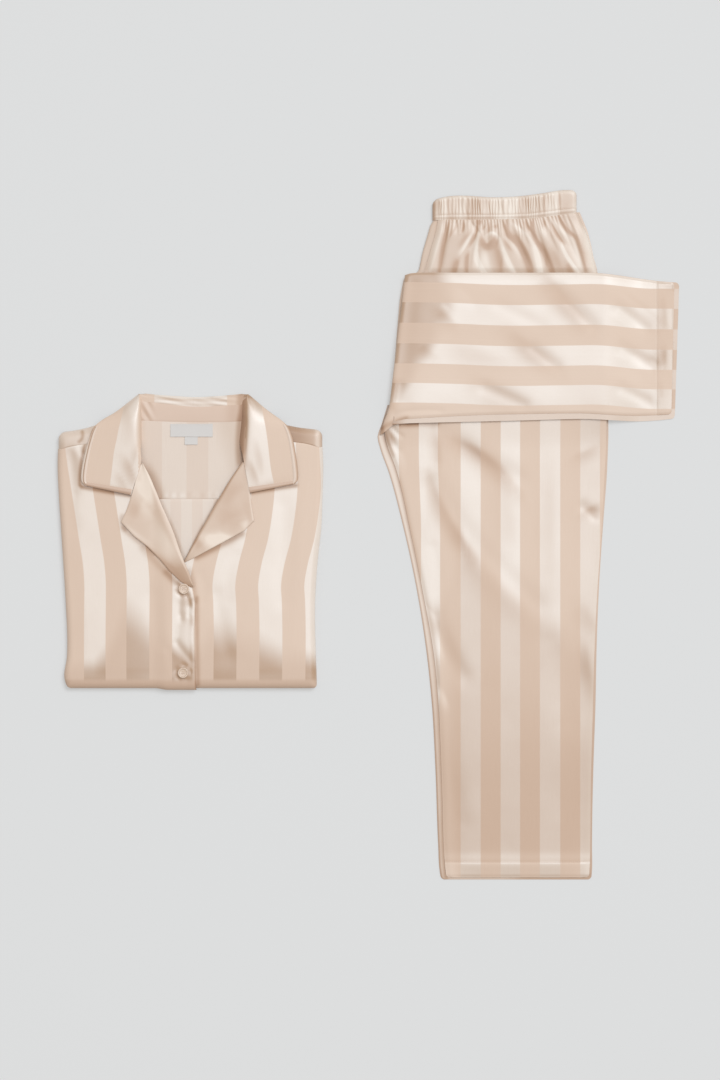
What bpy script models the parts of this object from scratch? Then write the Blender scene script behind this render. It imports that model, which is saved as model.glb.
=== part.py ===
"""Pyjama set: a folded satin shirt and, beside it, folded trousers with one leg turned across.

Plan sizes in the tables are millimetres from the middle of the set, +X to the right and +Y towards
the collar and the waistband. Heights are millimetres above the surface that the set lies on.
Cloth is a wall of WALL; layers lie on each other GAP apart.
"""
import math

import bpy
import numpy as np

# ---------------------------------------------------------------- driving sizes (mm)
MM = 0.001
WALL = 1.2              # cloth with its turnings
GAP = 0.3               # between two layers, and at seams
LAYER = WALL + GAP
BAND_WALL = 0.9         # bound edge of the collar

SHIRT_STACK = 12.0      # height of the shirt's hidden layers
SHIRT_ROLL = 9.0        # how far in from the outline the folded edge starts to roll down
SHIRT_DROP = 8.0        # how far the folded edge rolls down
SHIRT_BOTTOM = -214.0   # lower fold of the shirt
SHIRT_CORNER = 6.0
SHOULDER_CORNER = 9.0
NECK_SIDES = {"left": -320.7, "right": -174.3}      # where yoke and shoulder pieces meet
SHIRT_RELIEF = 1.4      # how much the fronts stand up off the hidden layers
OVERLAP_BULGE = 2.4     # how far the lower fold stands out where one front lies on the other
YOKE_SEAM = 126.0       # shoulder seam on the fronts
BACK_YOKE_SEAM = 50.0   # yoke seam inside the back
BACK_LOW = -62.0        # the inside of the back ends here, under the fronts
BACK_MIDDLE = -253.0
BACK_HALF_WIDTHS = (30.0, 70.0)     # of the inside of the back, at its lower end and at the seam
OVERLAP = (-302.0, -281.0)          # here the left front rises over the edge of the other front
STAND_ENDS = (-321.0, -169.0)
STAND_BULGE = 0.8
COLLAR_SIDE = (9.0, 15.8)           # width of its inner side beside the neck, and its lower height
COLLAR_BACK_TOP = 7.5               # height of the collar's upper fold behind the neck
COLLAR_BACK_TURN = 9.0              # how far the collar turns under behind the neck
LAPEL_TURN = 3.0                    # stand of a lapel at its roll line
LAPEL_ROLL = (0.13, 1.6)            # share of its width that rolls down, and how far

HIP_STACK = 7.0         # height of the trousers' hidden layers
HIP_LOW = 322.0         # the hip's upper panel ends here, under the turned leg
HIP_ROLL = 6.0
HIP_DROP = 5.5
WAIST_GATHERS = 36
WAIST_GATHERED = (97.0, 268.0)      # the elastic's stretch, between smooth ends
WAIST_ENDS = (88.6, 290.4)
WAIST_GATHER_HEIGHT = 1.1
WAIST_STAND = 1.2                   # how much fuller the band is than the hip
HIP_FULLNESS = 3.2      # how much the hip stands up between its folds
LEG_CROWN = 2.4         # how much the upper panel of a leg stands up in the middle
LOWER_HEM = -482.0      # lower end of the leg that runs down
HEM_DEPTH = 25.0        # depth of the trouser hems
HEM_SHOWS = 3.0         # how far a lower panel shows past the one on it
HEM_CORNER = 8.0
HIP_RAMP = (120.0, 178.0)           # where the lower leg rises onto the hip's layers
LOWER_TOPS = (182.0, 214.0)         # hidden upper ends of the lower leg's two panels
HEM_STEP = 0.5
HIP_SEAM_LEVEL = 444.0              # the waist seam at the middle of the hip
TURNED_LIFT = 1.0                   # space between the hip and the leg turned across it
TURNED_RAMP = (325.0, 385.0)        # where the turned leg comes down beyond the hip
TURNED_HEM = (402.0, 405.0, 425.0)  # step at the hem's stitching, then the hem's edge
LEG_ROLL = 7.0                      # reach and drop of the turned leg's folded end
LEG_ROLL_DROP = 4.0
WAIST_CORNER = 8.0
WAIST_SMOOTH = (272.0, 278.0)       # columns on the smooth end of the waistband

BUTTON_RADIUS = 7.4
BUTTON_HEIGHT = 2.0
BUTTONS = [(-258, -75), (-259, -192)]
BUTTON_RIM = ((2.4, -0.9), (1.8, 0.0), (0.6, 0.0), (0.0, -0.6))     # inset, height off the top
BUTTON_FOOT = 0.5
LABEL_WALL = 0.5
LABEL_BOXES = (("neck_label", -277, -218, 137, 155), ("size_tab", -257, -239, 126, 136.7))
EDGE_BAND = 6.5         # width of the collar's bound edge
COLLAR_TUCK_Y = 160.0   # the collar's hidden side ends here, just clear of the shirt's top fold
STAND_END_Y = 188.0     # where the collar's back starts at either end of the neck


# ---------------------------------------------------------------- tables
class Table:
    """Rows with named columns; a column is read anywhere along the first one."""

    def __init__(self, columns, rows):
        self.columns = columns.split()
        self.rows = np.array(rows, float)

    def column(self, name):
        return self.rows[:, self.columns.index(name)]

    def at(self, name, where):
        """Cubic curve through the column, its slope at each row taken from the rows beside it."""
        key, value = self.rows[:, 0], self.column(name)
        slope = np.gradient(value, key)
        where = np.clip(where, key[0], key[-1])
        i = np.clip(np.searchsorted(key, where, side="right") - 1, 0, len(key) - 2)
        step = key[i + 1] - key[i]
        s = (where - key[i]) / step
        rise = s * s * (3 - 2 * s)
        return (value[i] * (1 - rise) + value[i + 1] * rise
                + step * (slope[i] * s * (1 - s) ** 2 - slope[i + 1] * s * s * (1 - s)))


# Rim of the hidden layers: how far each height is drawn in from the outline, one row a bend.
SHIRT_RIM = Table("height inset", [
    (0.0, 2.6), (0.5, 1.2), (1.8, 0.4), (3.0, 0.8), (3.5, 2.2), (4.0, 0.9), (5.1, 0.4), (6.0, 0.9),
    (6.5, 2.0), (8.2, 2.5), (10.0, 3.9), (11.4, 6.2), (12.0, 9.0)])
TROUSER_RIM = Table("height inset", [
    (0.0, 2.4), (0.5, 1.0), (1.6, 0.3), (2.7, 0.8), (3.2, 2.0), (3.7, 0.9), (4.7, 0.4), (5.8, 1.0),
    (6.6, 2.4), (7.0, 4.5)])

SHIRT_SIDES = Table("y left right", [
    (-214, -421, -73), (-203, -425, -73), (-169, -422, -74), (-91, -424, -75), (-42, -427, -72),
    (18, -431, -66), (49, -433, -65), (110, -435, -64), (130, -434, -65), (160, -432, -67)])
SHIRT_TOP = Table("x y", [
    (-436, 142), (-427, 144), (-412, 146), (-393, 150), (-377, 155), (-319, 158), (-175, 158),
    (-113, 153), (-97, 150), (-80, 148), (-64, 146)])
FRONT_EDGE_LEFT = Table("y x", [      # front edge, then the roll line of the lapel
    (-214, -241), (-143, -243), (-91, -243), (-71, -247), (-41, -256), (3, -272), (52, -293),
    (91, -310), (103, -316), (128, -318)])
FRONT_EDGE_RIGHT = Table("y x", [     # runs under the other front, then up the lapel's roll line
    (-214, -277), (-100, -277), (-62, -275), (-38, -257), (8, -234), (48, -211), (91, -188),
    (105, -177), (130, -176)])
NECK_SEAM = Table("x y", [(-330, 160), (-286, 158), (-244, 157), (-209, 157), (-165, 159)])
STAND_SEAM = Table("x y", [(-319, 187), (-286, 183), (-244, 179), (-209, 180), (-171, 182)])
COLLAR_TOP = Table("x y", [
    (-319, 199), (-300, 197), (-272, 195), (-244, 193.5), (-209, 195), (-171, 198.5)])
COLLAR_LEAF_LEFT = Table("row roll_x roll_y edge_x edge_y roll_z edge_z", [
    (0, -330, 55.5, -396, 69, 20.0, 18.8), (1, -326, 68, -401, 77, 20.5, 18.8),
    (2, -316, 100, -400, 94, 22.0, 18.8), (3, -318, 120, -396, 113, 23.0, 18.8),
    (4, -319, 140, -391, 131, 23.5, 18.7), (5, -319, 158, -384, 149, 23.0, 18.4),
    (6, -319, 171, -371, 161.5, 21.5, 15.5), (7, -319, 182, -354, 173, 19.0, 11.5),
    (8, -319, 190, -336, 187, 16.5, 9.0), (9, -319, 197, -323, 196.5, 14.5, 8.0)])
COLLAR_LEAF_RIGHT = Table("row roll_x roll_y edge_x edge_y roll_z edge_z", [
    (0, -168, 58.5, -104, 71, 19.0, 18.8), (1, -170, 70, -99, 78, 19.5, 18.8),
    (2, -176, 103, -100, 98, 21.5, 18.8), (3, -176, 120, -103, 118, 23.0, 18.8),
    (4, -174, 140, -107, 137, 24.0, 18.7), (5, -172, 158, -114, 152, 23.5, 18.4),
    (6, -172, 171, -127, 164, 22.0, 15.5), (7, -171, 182, -142, 176, 19.5, 11.5),
    (8, -171, 190, -156, 187.5, 16.5, 9.0), (9, -171, 196.5, -167, 196, 14.5, 8.0)])
LAPEL_LEFT = Table("row roll_x roll_y edge_x edge_y edge_lift", [
    (0, -315, 100, -316.5, 97, 0.6), (1, -306, 83, -323, 76, 0.6), (2, -297, 62, -329.5, 54, 0.8),
    (3, -289, 42, -338, 34, 1.0), (4, -280, 22, -345.5, 18, 1.4), (5, -272, 3, -327, -2, 2.2),
    (6, -264, -20, -309, -16, 2.8), (7, -257, -38, -291, -34, 3.0), (8, -251, -52, -278, -50, 2.6),
    (9, -247, -64, -262.5, -65, 1.8)])
LAPEL_RIGHT = Table("row roll_x roll_y edge_x edge_y edge_lift", [
    (0, -176, 102, -175, 99, 0.3), (1, -186, 88, -171, 79, 0.4), (2, -196, 73, -167.5, 57.5, 0.6),
    (3, -206, 56, -163, 38, 0.8), (4, -216, 39, -160, 20, 1.0), (5, -226, 21, -174, 6, 1.0),
    (6, -237, 2, -196, -6, 0.9), (7, -247, -16, -220, -19, 0.7), (8, -253, -28, -240, -30, 0.5)])

WAIST_TOP = Table("x y", [
    (88, 468), (102, 472), (183, 472.5), (211, 474), (242, 478), (274, 482.5), (291, 482)])
WAIST_SEAM = Table("x y", [(80, 440), (183, 441), (223, 442), (267, 447), (296, 450)])
HIP_SIDES = Table("y left right", [
    (HIP_LOW, 66, 323), (345, 71, 321), (368, 77, 319), (385, 82, 314), (403, 87, 310), (420, 92, 305),
    (434, 95, 299), (452, 97, 291)])
HIP_STACK_OUTLINE = [                 # seen from above, anticlockwise from the lower left
    (29, 186), (180, 184), (326, 186), (323, 240), (320, 300), (315, 366), (305, 409), (296, 430),
    (288, 445), (287, 460), (284, 476), (270, 478), (240, 474), (183, 469), (104, 468), (93, 459),
    (92, 441), (86, 436), (83, 424), (74, 394), (69, 367), (49, 362), (43, 331), (39, 284), (35, 237),
    (31, 200)]
TURNED_UNDER = Table("row top_x top_y low_x low_y", [
    (0, 57, 363, 33, 154), (1, 74, 366, 58, 156), (2, 141, 366, 141, 158), (3, 218, 366, 218, 160),
    (4, 295, 366, 295, 162), (5, 326, 365, 335, 160.5), (6, 362, 361, 374, 159),
    (7, 403, 355.5, 404, 160.5), (8, 434, 353, 428, 163)])
TURNED_OVER = Table("row top_x top_y low_x low_y", [
    (0, 50, 363, 26, 160), (1, 69, 366, 52, 162), (2, 141, 366, 141, 167), (3, 218, 366, 218, 169),
    (4, 295, 366, 295, 170), (5, 326, 364.5, 335, 168), (6, 362, 360.5, 374, 167),
    (7, 403, 355, 404, 168), (8, 427, 353, 423, 169)])
LOWER_UNDER = Table("y left right", [
    (-482, 101, 311), (-470, 99, 312), (-435, 97, 312), (-325, 93, 314), (-235, 88, 317),
    (-159, 80, 318.5), (-61, 64, 322.5), (20, 46, 328), (87, 28, 333), (124, 15, 334.5),
    (138, 12, 335), (153, 17, 335), (182, 26, 335)])
LOWER_OVER = Table("y left right", [
    (-479, 108, 308), (-458, 106, 309), (-347, 102, 310.5), (-235, 97, 313.5), (-177, 92, 315),
    (-78, 75, 319.5), (1, 59, 325), (92, 38, 330), (136, 23, 332), (153, 22, 332), (182, 32, 331),
    (214, 42, 328)])

# Soft folds: a trough runs from start through bend to end; depth in mm, reach is its half-width.
FOLDS = "start_x start_y bend_x bend_y end_x end_y depth reach"
HIP_FOLDS = Table(FOLDS, [
    (111, 441, 102, 400, 97, 362, 2.2, 6), (132, 441, 131, 430, 129, 420, 1.8, 4.5),
    (156, 441, 141, 408, 137, 362, 2.4, 6.5), (168, 441, 165, 420, 165, 407, 1.8, 5),
    (192, 442, 205, 414, 229, 364, 2.6, 6.5), (229, 443, 237, 408, 257, 362, 2.2, 6),
    (254, 445, 264, 420, 275, 404, 1.8, 4.5), (266, 447, 289, 416, 301, 362, 2.0, 5.5)])
LEG_FOLDS = Table(FOLDS, [
    (99, 150, 150, 118, 208, 80, 1.3, 13), (90, 70, 138, -14, 236, -98, 1.5, 16),
    (86, -118, 104, -160, 131, -197, 1.2, 14), (300, 40, 308, 34, 316, 28, 1.2, 8),
    (255, -150, 275, -210, 280, -260, 0.7, 18)])
TURNED_FOLDS = Table(FOLDS, [
    (264, 342, 290, 318, 312, 292, 1.4, 10), (229, 262, 244, 250, 262, 236, 1.2, 9),
    (162, 205, 188, 195, 214, 182, 1.2, 10), (348, 317, 367, 304, 386, 289, 1.1, 9),
    (353, 261, 375, 250, 397, 236, 1.1, 9), (353, 205, 375, 195, 397, 182, 1.1, 9),
    (60, 345, 52, 270, 45, 190, 1.0, 12)])
SHIRT_FOLDS = Table(FOLDS, [
    (-262, -100, -276, -140, -262, -178, 1.0, 9), (-300, -86, -300, -120, -290, -150, 0.8, 12),
    (-419, 112, -424, 60, -414, 10, 0.8, 12), (-120, 40, -112, -20, -118, -90, 0.7, 14),
    (-214, -84, -206, -130, -196, -170, 0.8, 12)])


# ---------------------------------------------------------------- small maths
def ease(low, high, value):
    """0 before low, 1 after high, and a smooth S between."""
    s = np.clip((value - low) / (high - low), 0, 1)
    return s * s * (3 - 2 * s)


def roll_steps(reach, count):
    """Distances in from a folded edge at equal angles of its quarter roll."""
    return reach * (1 - np.cos(np.linspace(0, math.pi / 2, count + 1)))


def roll_drop(distance, reach, drop):
    """How far cloth lies under its flat part at this distance in from a folded edge."""
    back = 1 - np.clip(distance / reach, 0, 1)
    return drop * (1 - np.sqrt(1 - back ** 2))


def nearest_edge(*distances):
    """Smooth least of the distances to several edges, 0 on each of them."""
    total = sum(1 / np.maximum(d, 1e-4) ** 3 for d in distances)
    return np.where(np.min(distances, axis=0) <= 1e-3, 0, total ** (-1 / 3))


def corner_inset(distance, radius):
    """Inset of a side near a rounded corner, by the distance to the corner's other side."""
    back = 1 - np.clip(distance / radius, 0, 1)
    return radius * (1 - np.sqrt(1 - back ** 2))


def fold_depth(folds, x, y):
    """Depth of the soft folds at a point: a bell across each fold, round at both ends."""
    depth = np.zeros_like(x)
    s = np.linspace(0, 1, 25)
    for sx, sy, bx, by, ex, ey, deep, reach in folds.rows:
        line_x = (1 - s) ** 2 * sx + 2 * s * (1 - s) * bx + s * s * ex
        line_y = (1 - s) ** 2 * sy + 2 * s * (1 - s) * by + s * s * ey
        away = (x[..., None] - line_x) ** 2 + (y[..., None] - line_y) ** 2
        depth += deep * np.exp(-away.min(axis=-1) / reach ** 2)
    return depth


# ---------------------------------------------------------------- heights
def shirt_edge_distance(x, y):
    """Distance in from the folded shirt's outline."""
    return nearest_edge(x - SHIRT_SIDES.at("left", y), SHIRT_SIDES.at("right", y) - x,
                        y - SHIRT_BOTTOM, SHIRT_TOP.at("y", x) - y)


def shirt_top(x, y, layer):
    """Upper face of a layer of the shirt: flat with soft folds, rolled down at the outline."""
    inside = shirt_edge_distance(x, y)
    relief = (SHIRT_RELIEF - fold_depth(SHIRT_FOLDS, x, y)) * ease(0, 30, inside)
    return (SHIRT_STACK + layer * LAYER + np.maximum(relief, 0)
            - roll_drop(inside, SHIRT_ROLL, SHIRT_DROP))


def left_front_layer(x):
    """The left front lies on the hidden layers, and rises one layer over the other front."""
    return 2 + ease(*OVERLAP, x)


def hip_top(x, y):
    """Upper face of the hip: folds run down from the waist seam, flat under the turned leg."""
    relief = np.maximum(HIP_FULLNESS - fold_depth(HIP_FOLDS, x, y), 0.2) * ease(360, 384, y)
    relief = relief * (1 - 0.5 * ease(425, 444, y))
    side = nearest_edge(HIP_SIDES.at("right", y) - x)
    return (HIP_STACK + LAYER + relief * ease(0, 16, side) * ease(0, 10, x - HIP_SIDES.at("left", y))
            - roll_drop(side, HIP_ROLL, HIP_DROP))


def waistband_top(x, y, side):
    """Upper face of the waistband: even gathers, rolled down at both ends and along the top."""
    first, last = WAIST_GATHERED
    phase = (x - first) / (last - first) * WAIST_GATHERS * 2 * math.pi
    gathered = ease(first - 3, first + 3, x) * (1 - ease(last - 3, last + 3, x))
    ripple = WAIST_GATHER_HEIGHT * (0.5 - 0.5 * np.cos(phase)) * gathered * ease(0, 5, side)
    stand = HIP_STACK + LAYER + WAIST_STAND
    return stand + ripple - roll_drop(side, HIP_ROLL, HIP_DROP + WAIST_STAND)


def turned_floor(x):
    """Underside of the turned leg: on the hip, then down to the surface beyond it."""
    on_hip = HIP_STACK + LAYER + TURNED_LIFT
    return GAP + (on_hip - GAP) * (1 - ease(*TURNED_RAMP, x))


def turned_crown(x, y, up, from_fold):
    """Stand of the turned leg's upper panel: low crown, soft folds, hem step, rolled at the fold."""
    crown = LEG_CROWN * (1 - np.abs(2 * up - 1) ** 5) - fold_depth(TURNED_FOLDS, x, y)
    before, stitch, end = TURNED_HEM
    crown = np.maximum(crown, 0) * (1 - ease(stitch, end, x))
    return crown + HEM_STEP * ease(before, stitch, x) - roll_drop(from_fold, LEG_ROLL, LEG_ROLL_DROP)


def lower_front_top(x, y):
    """Upper face of the lower leg: low crown, soft folds, hem step, and up onto the hip's layers."""
    left, right = LOWER_OVER.at("left", y), LOWER_OVER.at("right", y)
    across = np.clip((x - left) / (right - left), 0, 1)
    crown = LEG_CROWN * (1 - np.abs(2 * across - 1) ** 5) - fold_depth(LEG_FOLDS, x, y)
    crown = np.maximum(crown, 0) * ease(LOWER_HEM, LOWER_HEM + HEM_DEPTH, y)
    hem = HEM_STEP * (1 - ease(LOWER_HEM + HEM_DEPTH - 3, LOWER_HEM + HEM_DEPTH + 3, y))
    on_hip = ease(*HIP_RAMP, y)
    return LAYER + WALL + hem + crown * (1 - on_hip) + (HIP_STACK - WALL) * on_hip


# ---------------------------------------------------------------- making solids
def material(name, colour, roughness):
    """A plain finish."""
    finish = bpy.data.materials.new(name)
    finish.use_nodes = True
    shader = finish.node_tree.nodes["Principled BSDF"]
    shader.inputs["Base Color"].default_value = (*colour, 1)
    shader.inputs["Roughness"].default_value = roughness
    shader.inputs["Metallic"].default_value = 0.0
    return finish


def add_object(name, points, faces, finish):
    """A mesh object, in metres, in the part's collection."""
    mesh = bpy.data.meshes.new(name)
    mesh.from_pydata([tuple(p) for p in points], [], faces)
    mesh.shade_smooth()
    mesh.update()
    piece = bpy.data.objects.new(name, mesh)
    piece.data.materials.append(finish)
    PARTS.objects.link(piece)
    return piece


def grid_faces(rows, columns):
    """Quads of a grid of points, row by row, facing up where rows go +Y and columns +X."""
    index = np.arange(rows * columns).reshape(rows, columns)
    corners = (index[:-1, :-1], index[:-1, 1:], index[1:, 1:], index[1:, :-1])
    return np.stack([c.ravel() for c in corners], axis=1).tolist()


def cloth(name, x, y, z, finish, wall=WALL):
    """A wall of cloth under a grid of surface points given in mm."""
    grid = np.stack(np.broadcast_arrays(x, y, z), axis=-1)
    along, across = np.diff(grid, axis=0)[:, :-1], np.diff(grid, axis=1)[:-1]
    if np.sum(across[..., 0] * along[..., 1] - across[..., 1] * along[..., 0]) < 0:
        grid = grid[:, ::-1]
    piece = add_object(name, grid.reshape(-1, 3) * MM, grid_faces(*grid.shape[:2]), finish)
    solidify = piece.modifiers.new("wall", "SOLIDIFY")
    solidify.thickness = wall * MM
    solidify.offset = -1
    return piece


def stack(name, outline, rim, finish):
    """Hidden layers as one solid: the outline drawn in, ring by ring, about its middle."""
    outline = np.array(outline, float)
    middle = (outline.min(axis=0) + outline.max(axis=0)) / 2
    half = (outline.max(axis=0) - outline.min(axis=0)) / 2
    count = len(outline)
    points = []
    for height, inset in rim.rows:
        ring = middle + (outline - middle) * (1 - inset / half)
        points += [(px * MM, py * MM, height * MM) for px, py in ring]
    faces = [[i * count + j, i * count + (j + 1) % count,
              (i + 1) * count + (j + 1) % count, (i + 1) * count + j]
             for i in range(len(rim.rows) - 1) for j in range(count)]
    faces.append(list(range(count))[::-1])
    faces.append([(len(rim.rows) - 1) * count + j for j in range(count)])
    return add_object(name, points, faces, finish)


# ---------------------------------------------------------------- shirt
def shirt_outline():
    """Outline of the folded shirt from above, anticlockwise from the lower left corner."""
    def side(column, sign):
        y = np.concatenate([SHIRT_BOTTOM + roll_steps(SHIRT_CORNER, 4), np.linspace(-200, 120, 13)])
        x = SHIRT_SIDES.at(column, y) + sign * corner_inset(y - SHIRT_BOTTOM, SHIRT_CORNER)
        return np.stack([x, y], axis=1)
    right, left = side("right", -1), side("left", 1)
    bottom = [(x, SHIRT_BOTTOM) for x in np.linspace(-400, -95, 6)]
    top = [(-66, 133), (-69, 142), (-76, 147)]
    top += [(x, float(SHIRT_TOP.at("y", x))) for x in np.linspace(-97, -405, 10)]
    top += [(-424, 144), (-431, 138), (-433, 130)]
    return np.array([*bottom, *right, *top, *left[::-1]])


def build_shirt_stack():
    """Back, sleeves and turned-up lower body of the folded shirt, layered at the rim."""
    stack("shirt_folded_layers", shirt_outline(), SHIRT_RIM, SATIN)


def front_rows():
    """Heights up the fronts: close together round the lower fold, then even up to the seam."""
    rolled = SHIRT_BOTTOM + roll_steps(SHIRT_ROLL, 4)
    return np.concatenate([rolled, np.linspace(-190, YOKE_SEAM - GAP / 2, 15)])


def build_shirt_fronts():
    """Both fronts, from the folded side edge to the front edge; the left one lies on top."""
    y = front_rows()[:, None]
    rolled = roll_steps(SHIRT_ROLL, 4)
    rest = np.linspace(0, 1, 11)[1:]
    corner = corner_inset(y - SHIRT_BOTTOM, SHIRT_CORNER)

    outer = SHIRT_SIDES.at("left", y) + corner
    inner = FRONT_EDGE_LEFT.at("x", y)
    x = np.concatenate([outer + rolled, outer + SHIRT_ROLL + (inner - outer - SHIRT_ROLL) * rest], axis=1)
    y_left = np.broadcast_to(y, x.shape)
    at_fold = 1 - ease(SHIRT_BOTTOM, SHIRT_BOTTOM + 24, y_left)
    over_other = OVERLAP_BULGE * ease(-300, -280, x) * at_fold
    z = shirt_top(x, y_left, left_front_layer(x))
    cloth("shirt_front_left", x, y_left - over_other, z, SATIN)

    outer = SHIRT_SIDES.at("right", y) - corner
    inner = FRONT_EDGE_RIGHT.at("x", y)
    x = np.concatenate([inner + (outer - SHIRT_ROLL - inner) * np.linspace(0, 1, 12)[:-1],
                        (outer - rolled)[:, ::-1]], axis=1)
    y_right = np.broadcast_to(y, x.shape)
    cloth("shirt_front_right", x, y_right, shirt_top(x, y_right, 2), SATIN)


def build_shoulder_yokes():
    """The yoke comes forward over each shoulder fold, down to the seam on the front."""
    rolled = roll_steps(SHIRT_ROLL, 4)
    up = np.concatenate([[0, 0.28, 0.55], 1 - 0.38 * roll_steps(1, 4)[::-1]])[:, None]
    for name, side, sign in (("shoulder_yoke_left", "left", 1), ("shoulder_yoke_right", "right", -1)):
        outer = float(SHIRT_SIDES.at(side, 135.0))
        neck = NECK_SIDES[side] - sign * GAP
        flat = np.linspace(outer + sign * SHIRT_ROLL, neck, 8)[1:]
        x = np.concatenate([outer + sign * rolled, flat])[None, :]
        top = SHIRT_TOP.at("y", x) - corner_inset(np.abs(x - outer), SHOULDER_CORNER)
        start = YOKE_SEAM + GAP / 2
        y = start + (top - start) * up
        inside = nearest_edge(np.abs(x - outer) + 0 * y, top - y)
        z = SHIRT_STACK + 2 * LAYER - roll_drop(inside, SHIRT_ROLL, SHIRT_DROP)
        cloth(name, x, y, z, SATIN_SHADE)


def build_inside_back():
    """Inside of the back yoke and of the back, as far as the neck opening shows them."""
    x = np.linspace(NECK_SIDES["left"], NECK_SIDES["right"], 9)[None, :]
    up = np.linspace(0, 1, 7)[:, None]
    low, high = BACK_YOKE_SEAM + GAP / 2, NECK_SEAM.at("y", x) - GAP / 2
    y = low + (high - low) * up
    x = np.broadcast_to(x, y.shape)
    cloth("shirt_back_yoke", x, y, np.full_like(y, SHIRT_STACK + LAYER), MATTE)
    y = np.linspace(BACK_LOW, BACK_YOKE_SEAM - GAP / 2, 7)[:, None]
    narrow, wide = BACK_HALF_WIDTHS
    half = narrow + (wide - narrow) * ease(BACK_LOW, BACK_YOKE_SEAM, y)
    x = BACK_MIDDLE + half * np.linspace(-1, 1, 7)[None, :]
    y = np.broadcast_to(y, x.shape)
    cloth("shirt_back", x, y, np.full_like(y, SHIRT_STACK + LAYER), MATTE)


def build_collar_stand():
    """Plain band between the neck seam and the back of the collar."""
    x = np.linspace(*STAND_ENDS, 13)[None, :]
    up = np.linspace(0, 1, 5)[:, None]
    low, high = NECK_SEAM.at("y", x) + GAP / 2, STAND_SEAM.at("y", x) - GAP
    y = low + (high - low) * up
    x = np.broadcast_to(x, y.shape)
    z = SHIRT_STACK + LAYER + STAND_BULGE * np.sin(math.pi * np.broadcast_to(up, y.shape))
    cloth("collar_stand", x, y, z, MATTE)


def collar_sections():
    """Key points (inner, roll, edge, tuck) of each section of the collar, from leaf to leaf."""
    side_width, side_height = COLLAR_SIDE
    sections = []
    for leaf, sign in ((COLLAR_LEAF_LEFT, 1), (COLLAR_LEAF_RIGHT, -1)):
        half = []
        for row, roll_x, roll_y, edge_x, edge_y, roll_z, edge_z in leaf.rows:
            standing = ease(2, 4, row)        # the neck edge is a seam below; above, the side slopes in
            behind = ease(5.6, 7.6, row)      # the outer edge is free below, folded under above
            turned = ease(7.2, 9, row)        # the neck edge joins the collar's back
            inner_x = roll_x + sign * ((side_width + 1.5) * standing - 1.5) * (1 - turned)
            inner_z = roll_z - 0.5 + (side_height - roll_z + 0.5) * standing
            inner_y = roll_y + (STAND_END_Y - roll_y) * turned
            tuck_y = edge_y - behind * min(6.0, edge_y - COLLAR_TUCK_Y)
            half.append(((inner_x, inner_y, inner_z),
                         (roll_x - sign * 0.5, roll_y, roll_z),
                         (edge_x, edge_y, edge_z),
                         (edge_x + sign * behind * 5, tuck_y, edge_z - 0.8 - behind * (edge_z - 1.9))))
        sections.append(half)
    left, right = sections
    back = []
    for x in np.linspace(-312, -178, 7):
        top, seam = float(COLLAR_TOP.at("y", x)), float(STAND_SEAM.at("y", x))
        back.append(((x, seam, SHIRT_STACK + LAYER), (x, top - 4, SHIRT_STACK + STAND_BULGE),
                     (x, top, COLLAR_BACK_TOP), (x, top - COLLAR_BACK_TURN, 2 * GAP)))
    return left + back + right[::-1]


def collar_surface(sections, counts=(2, 8, 4)):
    """Grid through the key points of the sections, softened along each section."""
    rows = []
    for keys in sections:
        keys = np.array(keys, float)
        row = [keys[0]]
        for start, end, count in zip(keys[:-1], keys[1:], counts):
            row += [start + (end - start) * (i + 1) / count for i in range(count)]
        rows.append(row)
    grid = np.array(rows)
    for _ in range(2):
        middle = (grid[:, :-2] + grid[:, 2:]) / 2
        grid[:, 1:-1] = grid[:, 1:-1] * 0.5 + middle * 0.5
    return grid


def build_collar():
    """Collar, from one leaf round the back of the neck to the other, and its bound edges."""
    grid = collar_surface(collar_sections())
    cloth("collar", grid[..., 0], grid[..., 1], grid[..., 2], SATIN)
    leaf_rows = len(COLLAR_LEAF_LEFT.rows)
    build_collar_edge("collar_edge_left", grid[:leaf_rows])
    build_collar_edge("collar_edge_right", grid[::-1][:leaf_rows])


def on_grid(grid, row, column):
    """Point of a grid surface between its rows and columns."""
    i, j = np.floor(row).astype(int), np.floor(column).astype(int)
    i, j = np.minimum(i, grid.shape[0] - 2), np.minimum(j, grid.shape[1] - 2)
    s, t = (row - i)[..., None], (column - j)[..., None]
    return (grid[i, j] * (1 - s) * (1 - t) + grid[i + 1, j] * s * (1 - t)
            + grid[i, j + 1] * (1 - s) * t + grid[i + 1, j + 1] * s * t)


def build_collar_edge(name, leaf):
    """Flat band on a leaf's own points, moved out: along its lower edge and up its outer edge."""
    roll_column, edge_column, last_row = 2.3, 10.3, 4.8
    step_row = EDGE_BAND / np.linalg.norm(leaf[1, 8] - leaf[0, 8])
    step_column = EDGE_BAND / np.linalg.norm(leaf[1, 9] - leaf[1, 8])
    along_low, up_side = np.linspace(roll_column, edge_column, 8), np.linspace(0, last_row, 10)[1:]
    row = np.concatenate([np.zeros_like(along_low), up_side])
    column = np.concatenate([along_low, np.full_like(up_side, edge_column)])
    inner_row = np.maximum(row, step_row)
    inner_column = np.minimum(column, edge_column - step_column)
    across = np.linspace(0, 1, 4)[:, None]
    grid = on_grid(leaf, row + (inner_row - row) * across, column + (inner_column - column) * across)
    lift = GAP + BAND_WALL + 0.35 * np.sin(math.pi * across)
    cloth(name, grid[..., 0], grid[..., 1], grid[..., 2] + lift, SATIN, BAND_WALL)


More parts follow.
